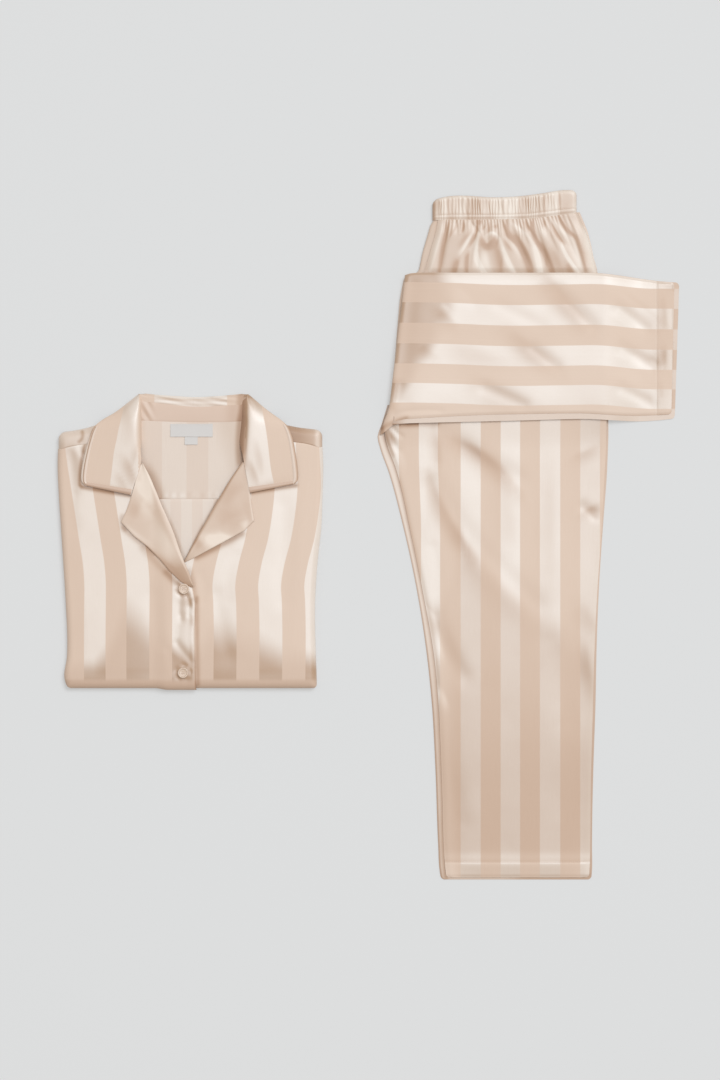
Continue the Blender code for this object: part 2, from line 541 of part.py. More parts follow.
def build_lapels():
    """Each lapel turns at its roll line and lies on its front, a little lifted at its free edge."""
    share, drop = LAPEL_ROLL
    across = np.array([0, 0.4 * share, share, 0.26, 0.42, 0.6, 0.8, 1.0])[None, :]
    for name, table, over in (("lapel_left", LAPEL_LEFT, left_front_layer),
                              ("lapel_right", LAPEL_RIGHT, None)):
        row = np.linspace(0, len(table.rows) - 1, 19)[:, None]
        roll_x, roll_y = table.at("roll_x", row), table.at("roll_y", row)
        x = roll_x + (table.at("edge_x", row) - roll_x) * across
        y = roll_y + (table.at("edge_y", row) - roll_y) * across
        layer = 1 + (over(x) if over else 2)
        turned = LAPEL_TURN * (1 - across) ** 1.5 - drop * (1 - np.minimum(across / share, 1)) ** 2
        lift = turned + table.at("edge_lift", row) * across
        cloth(name, x, y, shirt_top(x, y, layer) + lift, SATIN_SHADE)


def build_buttons():
    """Flat buttons with a raised rim, turned from a half profile."""
    rim = [(BUTTON_RADIUS - inset, BUTTON_HEIGHT + height) for inset, height in BUTTON_RIM]
    profile = [(0, rim[0][1]), *rim, (BUTTON_RADIUS, BUTTON_FOOT), (BUTTON_RADIUS - BUTTON_FOOT, 0), (0, 0)]
    for name, (x, y) in (("button_top", BUTTONS[0]), ("button_bottom", BUTTONS[1])):
        base = SHIRT_STACK + 3 * LAYER + SHIRT_RELIEF + GAP
        mesh = bpy.data.meshes.new(name)
        mesh.from_pydata([(r * MM, 0, z * MM) for r, z in profile],
                         [(i, i + 1) for i in range(len(profile) - 1)], [])
        button = bpy.data.objects.new(name, mesh)
        button.location = (x * MM, y * MM, base * MM)
        mesh.materials.append(SHELL)
        PARTS.objects.link(button)
        screw = button.modifiers.new("turned", "SCREW")
        screw.axis = "Z"
        screw.steps = screw.render_steps = 24
        screw.use_merge_vertices = True
        screw.merge_threshold = 0.00001


def build_labels():
    """Blank neck label on the yoke, with a size tab below it."""
    for name, left, right, low, high in LABEL_BOXES:
        x = np.broadcast_to(np.linspace(left, right, 5)[None, :], (3, 5))
        y = np.broadcast_to(np.linspace(low, high, 3)[:, None], (3, 5))
        z = np.full(x.shape, SHIRT_STACK + LAYER + GAP + LABEL_WALL)
        cloth(name, x, y, z, LABEL, LABEL_WALL)


# ---------------------------------------------------------------- trousers
def build_trouser_stack():
    """Hidden layers under the hip and the turned leg, layered at the rim."""
    stack("trouser_folded_layers", HIP_STACK_OUTLINE, TROUSER_RIM, SATIN)


def build_waistband():
    """Elastic waistband: even gathers between smooth ends, its top edge rolled over."""
    gathered = np.linspace(*WAIST_GATHERED, 3 * WAIST_GATHERS + 1)
    left, right = WAIST_ENDS
    x = np.concatenate([left + roll_steps(HIP_ROLL, 3), gathered[1:-1],
                        WAIST_SMOOTH, (right - roll_steps(HIP_ROLL, 3))[::-1]])[None, :]
    low = WAIST_SEAM.at("y", x) + GAP
    top = WAIST_TOP.at("y", x) - corner_inset(np.minimum(x - left, right - x), WAIST_CORNER)
    height = float(np.mean(top - low))
    up = np.concatenate([[0, 0.5], (1 - roll_steps(HIP_ROLL, 2) / height)[::-1]])[:, None]
    y = low + (top - low) * up
    x = np.broadcast_to(x, y.shape)
    distance = nearest_edge(x - left, right - x, np.broadcast_to(top, y.shape) - y)
    cloth("waistband", x, y, waistband_top(x, y, distance), SATIN)


def build_hip():
    """Upper panel of the hip, from under the turned leg up to the waist seam."""
    up = np.linspace(0, 1, 13)[:, None]
    across = np.concatenate([np.linspace(0, 1, 27)[:-2], [0.972, 0.99, 1.0]])[None, :]
    level = HIP_LOW + (HIP_SEAM_LEVEL - HIP_LOW) * up
    left, right = HIP_SIDES.at("left", level), HIP_SIDES.at("right", level)
    x = left + (right - left) * across
    y = HIP_LOW + (WAIST_SEAM.at("y", x) - GAP - HIP_LOW) * up
    cloth("hip_front", x, y, hip_top(x, y), SATIN)


def leg_rows(table, count):
    """Upper and lower ends of lines across the turned leg, evenly spread over its table."""
    row = np.linspace(0, len(table.rows) - 1, count)[None, :]
    return [table.at(name, row) for name in ("top_x", "top_y", "low_x", "low_y")]


def build_turned_leg():
    """The leg that is turned across: under panel, then upper panel on it, hems at the right."""
    for name, table, columns, lines in (("leg_turned_back", TURNED_UNDER, 25, 5),
                                        ("leg_turned_front", TURNED_OVER, 31, 13)):
        top_x, top_y, low_x, low_y = leg_rows(table, columns)
        up = np.linspace(0, 1, lines)[:, None]
        x, y = low_x + (top_x - low_x) * up, low_y + (top_y - low_y) * up
        z = turned_floor(x) + WALL
        if name == "leg_turned_front":
            left = low_x[0, 0] + (top_x[0, 0] - low_x[0, 0]) * up
            z = z + LAYER + turned_crown(x, y, up, x - left)
        cloth(name, x, y, z, SATIN)


def build_lower_leg():
    """The leg that runs down: under panel on the surface, upper panel on it, hem at the end."""
    across = np.linspace(0, 1, 6)[None, :]
    y = np.concatenate([LOWER_HEM + roll_steps(HEM_CORNER, 3), np.linspace(-450, LOWER_TOPS[0], 15)])[:, None]
    corner = corner_inset(y - LOWER_HEM, HEM_CORNER)
    left, right = LOWER_UNDER.at("left", y) + corner, LOWER_UNDER.at("right", y) - corner
    x = left + (right - left) * across
    cloth("leg_lower_back", x, np.broadcast_to(y, x.shape), np.full(x.shape, WALL), SATIN)

    across = np.linspace(0, 1, 13)[None, :]
    hem, stitch = LOWER_HEM + HEM_SHOWS, LOWER_HEM + HEM_DEPTH
    y = np.concatenate([hem + roll_steps(HEM_CORNER, 3), [stitch - 3, stitch + 3],
                        np.linspace(stitch + HEM_DEPTH, LOWER_TOPS[1], 24)])[:, None]
    corner = corner_inset(y - hem, HEM_CORNER)
    left, right = LOWER_OVER.at("left", y) + corner, LOWER_OVER.at("right", y) - corner
    x = left + (right - left) * across
    y = np.broadcast_to(y, x.shape)
    cloth("leg_lower_front", x, y, lower_front_top(x, y), SATIN)


# ---------------------------------------------------------------- run
def main():
    build_shirt_stack()
    build_shirt_fronts()
    build_shoulder_yokes()
    build_inside_back()
    build_collar_stand()
    build_collar()
    build_lapels()
    build_buttons()
    build_labels()
    build_trouser_stack()
    build_waistband()
    build_hip()
    build_turned_leg()
    build_lower_leg()


for old in list(bpy.data.objects):
    bpy.data.objects.remove(old, do_unlink=True)
PARTS = bpy.data.collections.new("pyjama_set")
bpy.context.scene.collection.children.link(PARTS)
SATIN = material("satin", (0.82, 0.72, 0.62), 0.38)
SATIN_SHADE = material("satin_shade", (0.76, 0.62, 0.50), 0.42)
MATTE = material("matte", (0.76, 0.60, 0.48), 0.6)
SHELL = material("button_shell", (0.80, 0.70, 0.60), 0.25)
LABEL = material("label_tape", (0.70, 0.68, 0.66), 0.7)
main()
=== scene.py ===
"""Looks of the pyjama set: striped satin with soft creases, gathers, seams and stitching.

Plan sizes are millimetres from the middle of the set, +X to the right and +Y towards the collar
and the waistband; heights are millimetres above the surface that the set lies on. Each piece of
cloth is a grid of points worked out from the same tables as its solid, closed into a thin shell.
"""
import math

import bpy
import numpy as np
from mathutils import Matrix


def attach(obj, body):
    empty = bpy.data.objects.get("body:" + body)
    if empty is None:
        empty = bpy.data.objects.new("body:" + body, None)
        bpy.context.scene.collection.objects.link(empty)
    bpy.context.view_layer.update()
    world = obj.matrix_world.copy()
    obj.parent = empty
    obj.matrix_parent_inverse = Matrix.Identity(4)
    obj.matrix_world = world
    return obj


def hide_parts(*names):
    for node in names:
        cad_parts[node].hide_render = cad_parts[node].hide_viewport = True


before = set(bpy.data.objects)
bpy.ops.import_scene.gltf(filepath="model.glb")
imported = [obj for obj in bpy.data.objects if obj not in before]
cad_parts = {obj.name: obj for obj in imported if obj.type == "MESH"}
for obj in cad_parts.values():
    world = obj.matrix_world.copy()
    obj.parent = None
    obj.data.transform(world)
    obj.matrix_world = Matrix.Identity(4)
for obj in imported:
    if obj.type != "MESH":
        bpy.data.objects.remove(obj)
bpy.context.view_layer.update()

# ---------------------------------------------------------------- driving sizes (mm)
MM = 0.001
WALL = 1.2              # cloth with its turnings
GAP = 0.3               # between two layers, and at seams
LAYER = WALL + GAP
BAND_WALL = 0.9         # bound edge of the collar

SHIRT_STACK = 12.0      # height of the shirt's hidden layers
SHIRT_ROLL = 9.0        # how far in from the outline the folded edge starts to roll down
SHIRT_DROP = 8.0        # how far the folded edge rolls down
SHIRT_BOTTOM = -214.0   # lower fold of the shirt
SHIRT_CORNER = 6.0      # radius of its lower corners,
SHOULDER_CORNER = 9.0   # and of its upper ones
NECK_SIDES = {"left": -320.7, "right": -174.3}      # where yoke and shoulder pieces meet
SHIRT_RELIEF = 1.4      # how much the fronts stand up off the hidden layers,
SHIRT_FREE = 30.0       # this far in from the outline
OVERLAP_BULGE = 2.4     # how far the lower fold stands out where one front lies on the other
YOKE_SEAM = 126.0       # shoulder seam on the fronts; here it dips towards both sides
BACK_YOKE_SEAM = 50.0   # yoke seam inside the back
BACK_LOW = -62.0        # the inside of the back ends here, under the fronts
BACK_MIDDLE = -253.0    # and is as wide as this to either side of here:
BACK_HALF_WIDTHS = (30.0, 70.0)     # at its lower end and at the seam
OVERLAP = (-302.0, -281.0)          # here the left front rises over the edge of the other front
STAND_ENDS = (-321.0, -169.0)       # the collar's band runs between these, under both leaves,
STAND_BULGE = 0.8                   # and is this full in the middle
COLLAR_SIDE_WIDTHS = {1: 2.0, -1: 6.5}      # its slope in to the neck, on the left and on the right
COLLAR_SIDE_LOW = 12.8              # height that it slopes down to
COLLAR_BACK_TOP = 7.5               # height of the collar's upper fold behind the neck
COLLAR_BACK_TURN = 9.0              # how far the collar turns under behind the neck
LAPEL_TURN = 3.0                    # stand of a lapel at its roll line
LAPEL_ROLL = (0.13, 1.6)            # share of its width that rolls down, and how far

LAYERS_REPEAT = 61.0    # the stripes repeat at this on all hidden layers
HIP_STACK = 7.0         # height of the trousers' hidden layers
HIP_LOW = 322.0         # the hip's upper panel ends here, under the turned leg
HIP_ROLL = 6.0          # reach of its rolled side, and of the waistband's ends and top,
HIP_DROP = 5.5          # and how far they roll down
WAIST_GATHERS = 36                  # over the elastic
WAIST_GATHERED = (97.0, 268.0)      # the elastic's stretch, between smooth ends
WAIST_ENDS = (88.6, 290.4)          # of the whole band
WAIST_GATHER_HEIGHT = 1.1           # of the even gathers; here each has its own share of it
WAIST_STAND = 1.2                   # how much fuller the band is than the hip
HIP_FULLNESS = 3.2      # how much the hip stands up between its folds,
HIP_FOLD_SHARE = 0.6    # with this share of their depths,
HIP_LEAST = 0.2         # and how much at least
HIP_DRAWN_IN = 0.75     # share of it that the waist seam takes away,
HIP_DRAWN_ROWS = (418.0, 444.0)     # between these rows
HIP_SHOWS = (363.0, 374.0)          # the hip comes out from under the turned leg here
LEG_CROWN = 2.4         # how much the upper panel of a leg stands up in the middle
LOWER_HEM = -482.0      # lower end of the leg that runs down
HEM_DEPTH = 25.0        # depth of the trouser hems
HEM_SHOWS = 3.0         # how far a lower panel shows past the one on it
HEM_CORNER = 5.0        # radius of the lower leg's corners,
TURNED_CORNER = 5.0     # of the turned leg's at its hem,
WAIST_CORNER = 8.0      # and of the waistband's upper ones
HIP_RAMP = (120.0, 178.0)           # where the lower leg rises onto the hip's layers
LOWER_TOPS = (182.0, 214.0)         # hidden upper ends of the lower leg's two panels
HEM_STEP = 0.5          # the turned-in hem is this much thicker,
HEM_RAMP = 3.0          # from this far below its stitches to this far above
HIP_SEAM_LEVEL = 444.0              # the waist seam at the middle of the hip
TURNED_LIFT = 1.0                   # space between the hip and the leg turned across it
TURNED_RAMP = (325.0, 385.0)        # where the turned leg comes down beyond the hip
TURNED_HEM = (402.0, 405.0, 425.0)  # step at the hem's stitching, then the hem's edge
LEG_ROLL = 7.0                      # reach and drop of the turned leg's folded end
LEG_ROLL_DROP = 4.0

BUTTON_RADIUS = 7.4
BUTTON_HEIGHT = 2.0
BUTTONS = [(-258, -75), (-259, -192)]
BUTTON_RIM = ((2.4, -0.9), (1.8, 0.0), (0.6, 0.0), (0.0, -0.6))     # inset, height off the top
BUTTON_FOOT = 0.5       # bevel of its lower edge
LABEL_WALL = 0.5
LABEL_BOXES = (         # left, right, low, high
    ("neck_label", -277, -218, 137, 155), ("size_tab", -257, -239, 126, 136.7))
EDGE_BAND = 6.5         # width of the collar's bound edge
COLLAR_TUCK_Y = 160.0   # the collar's hidden side ends here, just clear of the shirt's top fold
STAND_END_Y = 188.0     # where the collar's back starts at either end of the neck


# ---------------------------------------------------------------- tables
class Table:
    """Rows with named columns; a column is read anywhere along the first one."""

    def __init__(self, columns, rows):
        self.columns = columns.split()
        self.rows = np.array(rows, float)

    def column(self, name):
        return self.rows[:, self.columns.index(name)]

    def at(self, name, where):
        """Cubic curve through the column, its slope at each row taken from the rows beside it."""
        key, value = self.rows[:, 0], self.column(name)
        slope = np.gradient(value, key)
        where = np.clip(where, key[0], key[-1])
        i = np.clip(np.searchsorted(key, where, side="right") - 1, 0, len(key) - 2)
        step = key[i + 1] - key[i]
        s = (where - key[i]) / step
        rise = s * s * (3 - 2 * s)
        return (value[i] * (1 - rise) + value[i + 1] * rise
                + step * (slope[i] * s * (1 - s) ** 2 - slope[i + 1] * s * s * (1 - s)))

    def straight(self, name, where):
        """Straight lines between the rows, so that a corner stays sharp."""
        return np.interp(where, self.rows[:, 0], self.column(name))


# Rim of the hidden layers: how far each height is drawn in from the outline, one row a bend.
SHIRT_RIM = Table("height inset", [
    (0.0, 2.6), (0.5, 1.2), (1.8, 0.4), (3.0, 0.8), (3.5, 2.2), (4.0, 0.9), (5.1, 0.4), (6.0, 0.9),
    (6.5, 2.0), (8.2, 2.5), (10.0, 3.9), (11.4, 6.2), (12.0, 9.0)])
TROUSER_RIM = Table("height inset", [
    (0.0, 2.4), (0.5, 1.0), (1.6, 0.3), (2.7, 0.8), (3.2, 2.0), (3.7, 0.9), (4.7, 0.4), (5.8, 1.0),
    (6.6, 2.4), (7.0, 4.5)])

SHIRT_SIDES = Table("y left right", [
    (-214, -421, -73), (-203, -425, -73), (-169, -422, -74), (-91, -424, -75), (-42, -427, -72),
    (18, -431, -66), (49, -433, -65), (110, -435, -64), (130, -434, -65), (160, -432, -67)])
SHIRT_TOP = Table("x y", [
    (-436, 142), (-427, 144), (-412, 146), (-393, 150), (-377, 155), (-319, 158), (-175, 158),
    (-113, 153), (-97, 150), (-80, 148), (-64, 146)])
YOKE_LINE = Table("x y", [
    (-436, 117.5), (-424, 121.5), (-395, 126.5), (-320, 127), (-170, 129), (-103, 129), (-84, 126.5),
    (-64, 120.5)])
FRONT_EDGE_LEFT = Table("y x", [      # front edge, then the roll line of the lapel
    (-214, -241), (-143, -243), (-91, -243), (-71, -247), (-41, -256), (3, -272), (52, -293),
    (91, -310), (103, -316), (128, -318)])
FRONT_EDGE_RIGHT = Table("y x", [     # runs under the other front, then up the lapel's roll line
    (-214, -277), (-100, -277), (-62, -275), (-38, -257), (8, -234), (48, -211), (91, -188),
    (105, -177), (130, -176)])
NECK_SEAM = Table("x y", [(-330, 160), (-286, 158), (-244, 157), (-209, 157), (-165, 159)])
STAND_SEAM = Table("x y", [(-319, 187), (-286, 183), (-244, 179), (-209, 180), (-171, 182)])
COLLAR_TOP = Table("x y", [
    (-319, 199), (-300, 197), (-272, 195), (-244, 193.5), (-209, 195), (-171, 198.5)])
COLLAR_LEAF_LEFT = Table("row roll_x roll_y edge_x edge_y roll_z edge_z", [
    (0, -330, 55.5, -396, 69, 20.0, 18.8), (1, -326, 68, -401, 77, 20.5, 18.8),
    (2, -316, 100, -400, 94, 22.0, 18.8), (3, -318, 120, -396, 113, 23.0, 18.8),
    (4, -319, 140, -391, 131, 23.5, 18.7), (5, -319, 158, -384, 149, 23.0, 18.4),
    (6, -319, 171, -371, 161.5, 21.5, 15.5), (7, -319, 182, -354, 173, 19.0, 11.5),
    (8, -319, 190, -336, 187, 16.5, 9.0), (9, -319, 197, -323, 196.5, 14.5, 8.0)])
COLLAR_LEAF_RIGHT = Table("row roll_x roll_y edge_x edge_y roll_z edge_z", [
    (0, -168, 58.5, -104, 71, 19.0, 18.8), (1, -170, 70, -99, 78, 19.5, 18.8),
    (2, -176, 103, -100, 98, 21.5, 18.8), (3, -176, 120, -103, 118, 23.0, 18.8),
    (4, -174, 140, -107, 137, 24.0, 18.7), (5, -172, 158, -114, 152, 23.5, 18.4),
    (6, -172, 171, -127, 164, 22.0, 15.5), (7, -171, 182, -142, 176, 19.5, 11.5),
    (8, -171, 190, -156, 187.5, 16.5, 9.0), (9, -171, 196.5, -167, 196, 14.5, 8.0)])
LAPEL_LEFT = Table("row roll_x roll_y edge_x edge_y edge_lift", [
    (0, -315, 100, -318, 97, 3.0), (1, -306, 83, -324.7, 76, 2.2), (2, -297, 62, -331.2, 54, 1.1),
    (3, -289, 42, -338, 34, 1.0), (4, -280, 22, -345.5, 18, 1.4), (5, -272, 3, -327, -2, 1.5),
    (6, -264, -20, -309, -16, 1.7), (7, -257, -38, -291, -34, 1.7), (8, -251, -52, -278, -50, 1.5),
    (9, -247, -64, -262.5, -65, 1.1), (10, -243.5, -72, -248.5, -73, 0.3)])
LAPEL_RIGHT = Table("row roll_x roll_y edge_x edge_y edge_lift", [
    (0, -176, 102, -173.5, 99, 2.8), (1, -186, 88, -169.3, 79, 1.4), (2, -196, 73, -165.8, 57.5, 0.7),
    (3, -206, 56, -163, 38, 0.8), (4, -216, 39, -160, 20, 1.0), (5, -226, 21, -174, 6, 1.0),
    (6, -237, 2, -196, -6, 0.9), (7, -247, -16, -220, -19, 0.7), (8, -253, -28, -240, -30, 0.5),
    (9, -258, -37, -256, -38, 0.3)])

WAIST_TOP = Table("x y", [
    (88, 468), (102, 472), (183, 472.5), (211, 474), (242, 478), (274, 482.5), (291, 482)])
WAIST_SEAM = Table("x y", [(80, 440), (183, 441), (223, 442), (267, 447), (296, 450)])
HIP_SIDES = Table("y left right", [
    (HIP_LOW, 66, 323), (345, 71, 321), (368, 77, 319), (385, 82, 314), (403, 87, 310), (420, 92, 305),
    (434, 95, 299), (452, 97, 291)])
HIP_STACK_OUTLINE = [                 # seen from above, anticlockwise from the lower left
    (29, 186), (180, 184), (326, 186), (323, 240), (320, 300), (315, 366), (305, 409), (296, 430),
    (288, 445), (287, 460), (284, 476), (270, 478), (240, 474), (183, 469), (104, 468), (93, 459),
    (92, 441), (86, 436), (83, 424), (74, 394), (69, 367), (49, 362), (43, 331), (39, 284), (35, 237),
    (31, 200)]
TURNED_UNDER = Table("row top_x top_y low_x low_y", [
    (0, 57, 363, 33, 154), (1, 74, 366, 58, 156), (2, 141, 366, 141, 158), (3, 218, 366, 218, 160),
    (4, 295, 366, 295, 162), (5, 326, 365, 335, 160.5), (6, 362, 361, 374, 159),
    (7, 403, 355.5, 404, 160.5), (8, 434, 353, 428, 163)])
TURNED_OVER = Table("row top_x top_y low_x low_y", [
    (0, 50, 363, 26, 160), (1, 69, 366, 52, 162), (2, 141, 366, 141, 167), (3, 218, 366, 218, 169),
    (4, 295, 366, 295, 170), (5, 326, 364.5, 335, 168), (6, 362, 360.5, 374, 167),
    (7, 403, 355, 404, 168), (8, 427, 353, 423, 169)])
LOWER_UNDER = Table("y left right", [
    (-482, 101, 311), (-470, 99, 312), (-435, 97, 312), (-325, 93, 314), (-235, 88, 317),
    (-159, 80, 318.5), (-61, 64, 322.5), (20, 46, 328), (87, 28, 333), (124, 15, 334.5),
    (138, 12, 335), (153, 17, 335), (182, 26, 335)])
LOWER_OVER = Table("y left right", [
    (-479, 108, 308), (-458, 106, 309), (-347, 102, 310.5), (-235, 97, 313.5), (-177, 92, 315),
    (-78, 75, 319.5), (1, 59, 325), (92, 38, 330), (136, 23, 332), (153, 22, 332), (182, 32, 331),
    (214, 42, 328)])

# Soft folds: a trough runs from start through bend to end; depth in mm, reach is its half-width.
FOLDS = "start_x start_y bend_x bend_y end_x end_y depth reach"
HIP_FOLDS = Table(FOLDS, [
    (111, 441, 102, 400, 97, 362, 2.2, 6), (132, 441, 131, 430, 129, 420, 1.8, 4.5),
    (156, 441, 141, 408, 137, 362, 2.4, 6.5), (168, 441, 165, 420, 165, 407, 1.8, 5),
    (192, 442, 205, 414, 229, 364, 2.6, 6.5), (229, 443, 237, 408, 257, 362, 2.2, 6),
    (254, 445, 264, 420, 275, 404, 1.8, 4.5), (266, 447, 289, 416, 301, 362, 2.0, 5.5)])
LEG_FOLDS = Table(FOLDS, [
    (99, 150, 150, 118, 208, 80, 1.3, 13), (90, 70, 138, -14, 236, -98, 1.5, 16),
    (86, -118, 104, -160, 131, -197, 1.2, 14), (300, 40, 308, 34, 316, 28, 1.2, 8),
    (255, -150, 275, -210, 280, -260, 0.7, 18)])
TURNED_FOLDS = Table(FOLDS, [
    (264, 342, 290, 318, 312, 292, 1.4, 10), (229, 262, 244, 250, 262, 236, 1.2, 9),
    (162, 205, 188, 195, 214, 182, 1.2, 10), (348, 317, 367, 304, 386, 289, 1.1, 9),
    (353, 261, 375, 250, 397, 236, 1.1, 9), (353, 205, 375, 195, 397, 182, 1.1, 9),
    (60, 345, 52, 270, 45, 190, 1.0, 12)])
SHIRT_FOLDS = Table(FOLDS, [
    (-262, -100, -276, -140, -262, -178, 1.0, 9), (-300, -86, -300, -120, -290, -150, 0.8, 12),
    (-419, 112, -424, 60, -414, 10, 0.8, 12), (-120, 40, -112, -20, -118, -90, 0.7, 14),
    (-214, -84, -206, -130, -196, -170, 0.8, 12)])

# Finer creases, which the solids leave out: the same columns as the soft folds above.
SHIRT_CREASES = Table(FOLDS, [
    (-262, -84, -268, -100, -262, -118, 0.7, 4), (-254, -84, -249, -96, -251, -112, 0.8, 3),
    (-247, -92, -252, -104, -262, -112, 0.5, 3), (-268, -150, -258, -164, -246, -178, 0.9, 5),
    (-280, -160, -272, -176, -272, -190, 0.6, 6), (-246, -184, -238, -190, -243, -202, 0.6, 4),
    (-400, 128, -407, 120, -398, 112, 0.7, 5), (-420, 120, -410, 90, -412, 60, 0.5, 8),
    (-236, -56, -228, -70, -232, -90, 0.6, 7), (-186, -30, -200, -50, -196, -90, 0.4, 10)])
HIP_CREASES = Table(FOLDS, [
    (106, 441, 108, 424, 106, 408, 0.9, 3), (120, 441, 124, 430, 122, 418, 1.0, 3.2),
    (140, 441, 146, 430, 155, 420, 1.2, 3), (150, 441, 150, 426, 146, 412, 1.0, 3),
    (162, 441, 158, 430, 160, 416, 1.0, 2.8), (176, 441, 182, 424, 176, 404, 1.2, 4),
    (184, 441, 188, 426, 194, 412, 1.0, 3.2), (204, 442, 214, 424, 222, 404, 1.3, 4),
    (216, 442, 222, 428, 232, 412, 1.1, 3.2), (240, 443, 250, 424, 262, 396, 1.3, 4),
    (248, 444, 258, 426, 270, 408, 1.0, 3), (262, 446, 276, 420, 288, 388, 1.2, 4),
    (274, 447, 284, 430, 292, 408, 0.9, 3.4), (152, 400, 150, 384, 152, 364, 1.2, 5),
    (186, 396, 178, 380, 182, 364, 1.0, 6), (242, 400, 246, 384, 244, 364, 1.0, 5)])
LEG_CREASES = Table(FOLDS, [
    (20, 152, 30, 136, 40, 118, 1.2, 4), (28, 156, 34, 146, 46, 138, 0.9, 3),
    (92, 156, 98, 130, 96, 104, 0.6, 9), (16, 138, 22, 120, 27, 98, 0.8, 3),
    (90, -18, 100, -60, 96, -110, 0.5, 9), (96, -230, 112, -310, 132, -400, 0.5, 14)])
TURNED_CREASES = Table(FOLDS, [
    (36, 168, 60, 176, 100, 172, 0.7, 5), (28, 164, 40, 180, 44, 210, 0.8, 6),
    (398, 244, 402, 240, 406, 236, 0.5, 4), (183, 320, 211, 307, 240, 292, 0.5, 10)])

# Stripes: where a satin stripe starts (whole numbers) and ends (halves), counted across the cloth.
STRIPES_LEFT = Table("across count", [
    (-398.3, 0), (-368.2, 0.5), (-339.2, 1), (-307.3, 1.5), (-275.4, 2), (-244, 2.5)])
STRIPES_RIGHT = Table("across count", [
    (-217.7, 0), (-185.9, 0.5), (-154, 1), (-122.1, 1.5), (-89.6, 2), (-58, 2.5)])
STRIPE_LEAN = Table("y left right", [         # how far the stripes move aside up each front
    (-214, 1.0, 0.8), (-112, 1.2, 1.0), (-91, 1.4, 0.4), (-72, 1.5, -0.6), (-40, -0.6, 4.3),
    (-7, -5.8, 12.9), (28, -11.2, 18.8), (61, -16.4, 22.2), (116, -24.5, 20.5), (160, -28, 18)])
STRIPES_LEG = Table("across count", [
    (22.4, -1), (44.8, -0.5), (72.8, 0), (99.4, 0.5), (128.1, 1), (156.1, 1.5), (184, 2),
    (211.2, 2.5), (238.9, 3), (267.4, 3.5), (295.4, 4), (323, 4.5)])
STRIPE_BOW = Table("x drop", [                 # how far they bow down across the turned leg
    (60, -1.4), (85, -0.9), (127, 0.2), (169, 2.1), (211, 2.8), (253, 2.2), (295, 1.6), (337, 0.4),
    (379, 0)])
STRIPES_TURNED = Table("across count", [
    (154, -0.5), (183.4, 0), (210.7, 0.5), (238, 1), (266, 1.5), (294.7, 2), (323.4, 2.5),
    (351.4, 3), (379, 3.5)])
STRIPES_YOKE = Table("across count", [
    (-320, -0.5), (-288.8, 0), (-254.5, 0.5), (-224.3, 1), (-176, 1.5)])
STRIPES_BACK = Table("across count", [
    (-292, 0), (-277, 0.5), (-262, 1), (-247, 1.5), (-232, 2), (-217, 2.5)])
COLLAR_LINE = Table("y left right", [         # between satin and matte on each leaf
    (55, -362, -131), (71, -360.6, -132.4), (87, -358.5, -135.8), (120, -354.2, -140),
    (132, -351.5, -141.4), (147, -348.6, -143.5), (165, -344.5, -147), (182, -341.6, -150),
    (200, -340, -153)])

# Painted sheen: the light leaves the satin along these lines; amount is the loss, below 0 a gain.
LEG_SHEEN = Table(FOLDS, [
    (109, 134, 164, 118, 209, 58, 0.95, 11), (82, 86, 98, 28, 146, -32, 0.95, 10),
    (128, 132, 156, 116, 196, 86, 0.4, 10), (88, 152, 99, 118, 97, 90, 0.5, 7),
    (184, 70, 196, 20, 198, -20, 0.22, 15),
    (252, 110, 252, 20, 252, -70, 0.2, 12),
    (124, 20, 128, -6, 132, -24, 0.4, 9), (126, -14, 172, -70, 230, -120, 0.34, 18),
    (100, -112, 110, -156, 136, -200, 0.25, 13),
    (286, 106, 302, 113, 322, 122, 0.4, 8), (296, 26, 309, 35, 324, 43, 0.35, 6),
    (90, -231, 108, -315, 130, -410, 0.25, 16), (298, -280, 302, -340, 304, -400, 0.15, 14),
    (24, 150, 32, 138, 34, 124, 0.9, 6),
    (38, 130, 45, 112, 50, 96, -0.4, 5), (76, 126, 77, 90, 78, 20, -0.12, 6),
    (292, 40, 308, 34, 324, 30, 0.3, 7), (294, -96, 306, -118, 316, -140, 0.3, 13),
    (300, -150, 306, -190, 312, -240, 0.35, 8),
    (94, -136, 100, -160, 104, -176, -0.5, 5), (98, -214, 104, -226, 110, -244, -0.6, 5)])
LEG_BAND = Table("x y", [               # painted shade: the satin of the lower leg is less bright below this line
    (60, -105), (99, -110), (112, -70), (141, -14), (189, -76), (253, -122), (309, -178), (330, -200)])
TURNED_SHEEN = Table(FOLDS, [
    (243, 362, 275, 322, 311, 286, 0.85, 12), (193, 284, 231, 254, 269, 226, 0.65, 12),
    (136, 222, 178, 198, 228, 176, 0.38, 16), (358, 334, 390, 310, 416, 286, 0.3, 12),
    (354, 268, 388, 246, 412, 232, 0.18, 11), (330, 218, 371, 195, 404, 178, 0.2, 14),
    (168, 328, 212, 306, 252, 284, 0.1, 16), (110, 262, 150, 250, 196, 236, 0.22, 15),
    (352, 336, 380, 316, 400, 300, -0.2, 6),
    (120, 344, 132, 336, 142, 322, -0.3, 7), (402, 262, 400, 250, 404, 236, 0.2, 6),
    (100, 323, 106, 319, 112, 313, -0.3, 4), (72, 264, 82, 252, 96, 244, 0.2, 8),
    (96, 312, 112, 300, 122, 286, 0.35, 8), (411, 334, 412, 312, 414, 290, 0.35, 6),
    (413, 266, 412, 250, 413, 236, 0.5, 6), (406, 216, 409, 204, 408, 190, 0.2, 6)])
TURNED_DARK_END = Table("y x", [           # left of this the turned leg's satin is in shade
    (155, 10), (175, 24), (197, 40), (224, 58), (252, 78), (280, 94), (315, 110), (336, 108),
    (353, 108), (370, 98)])
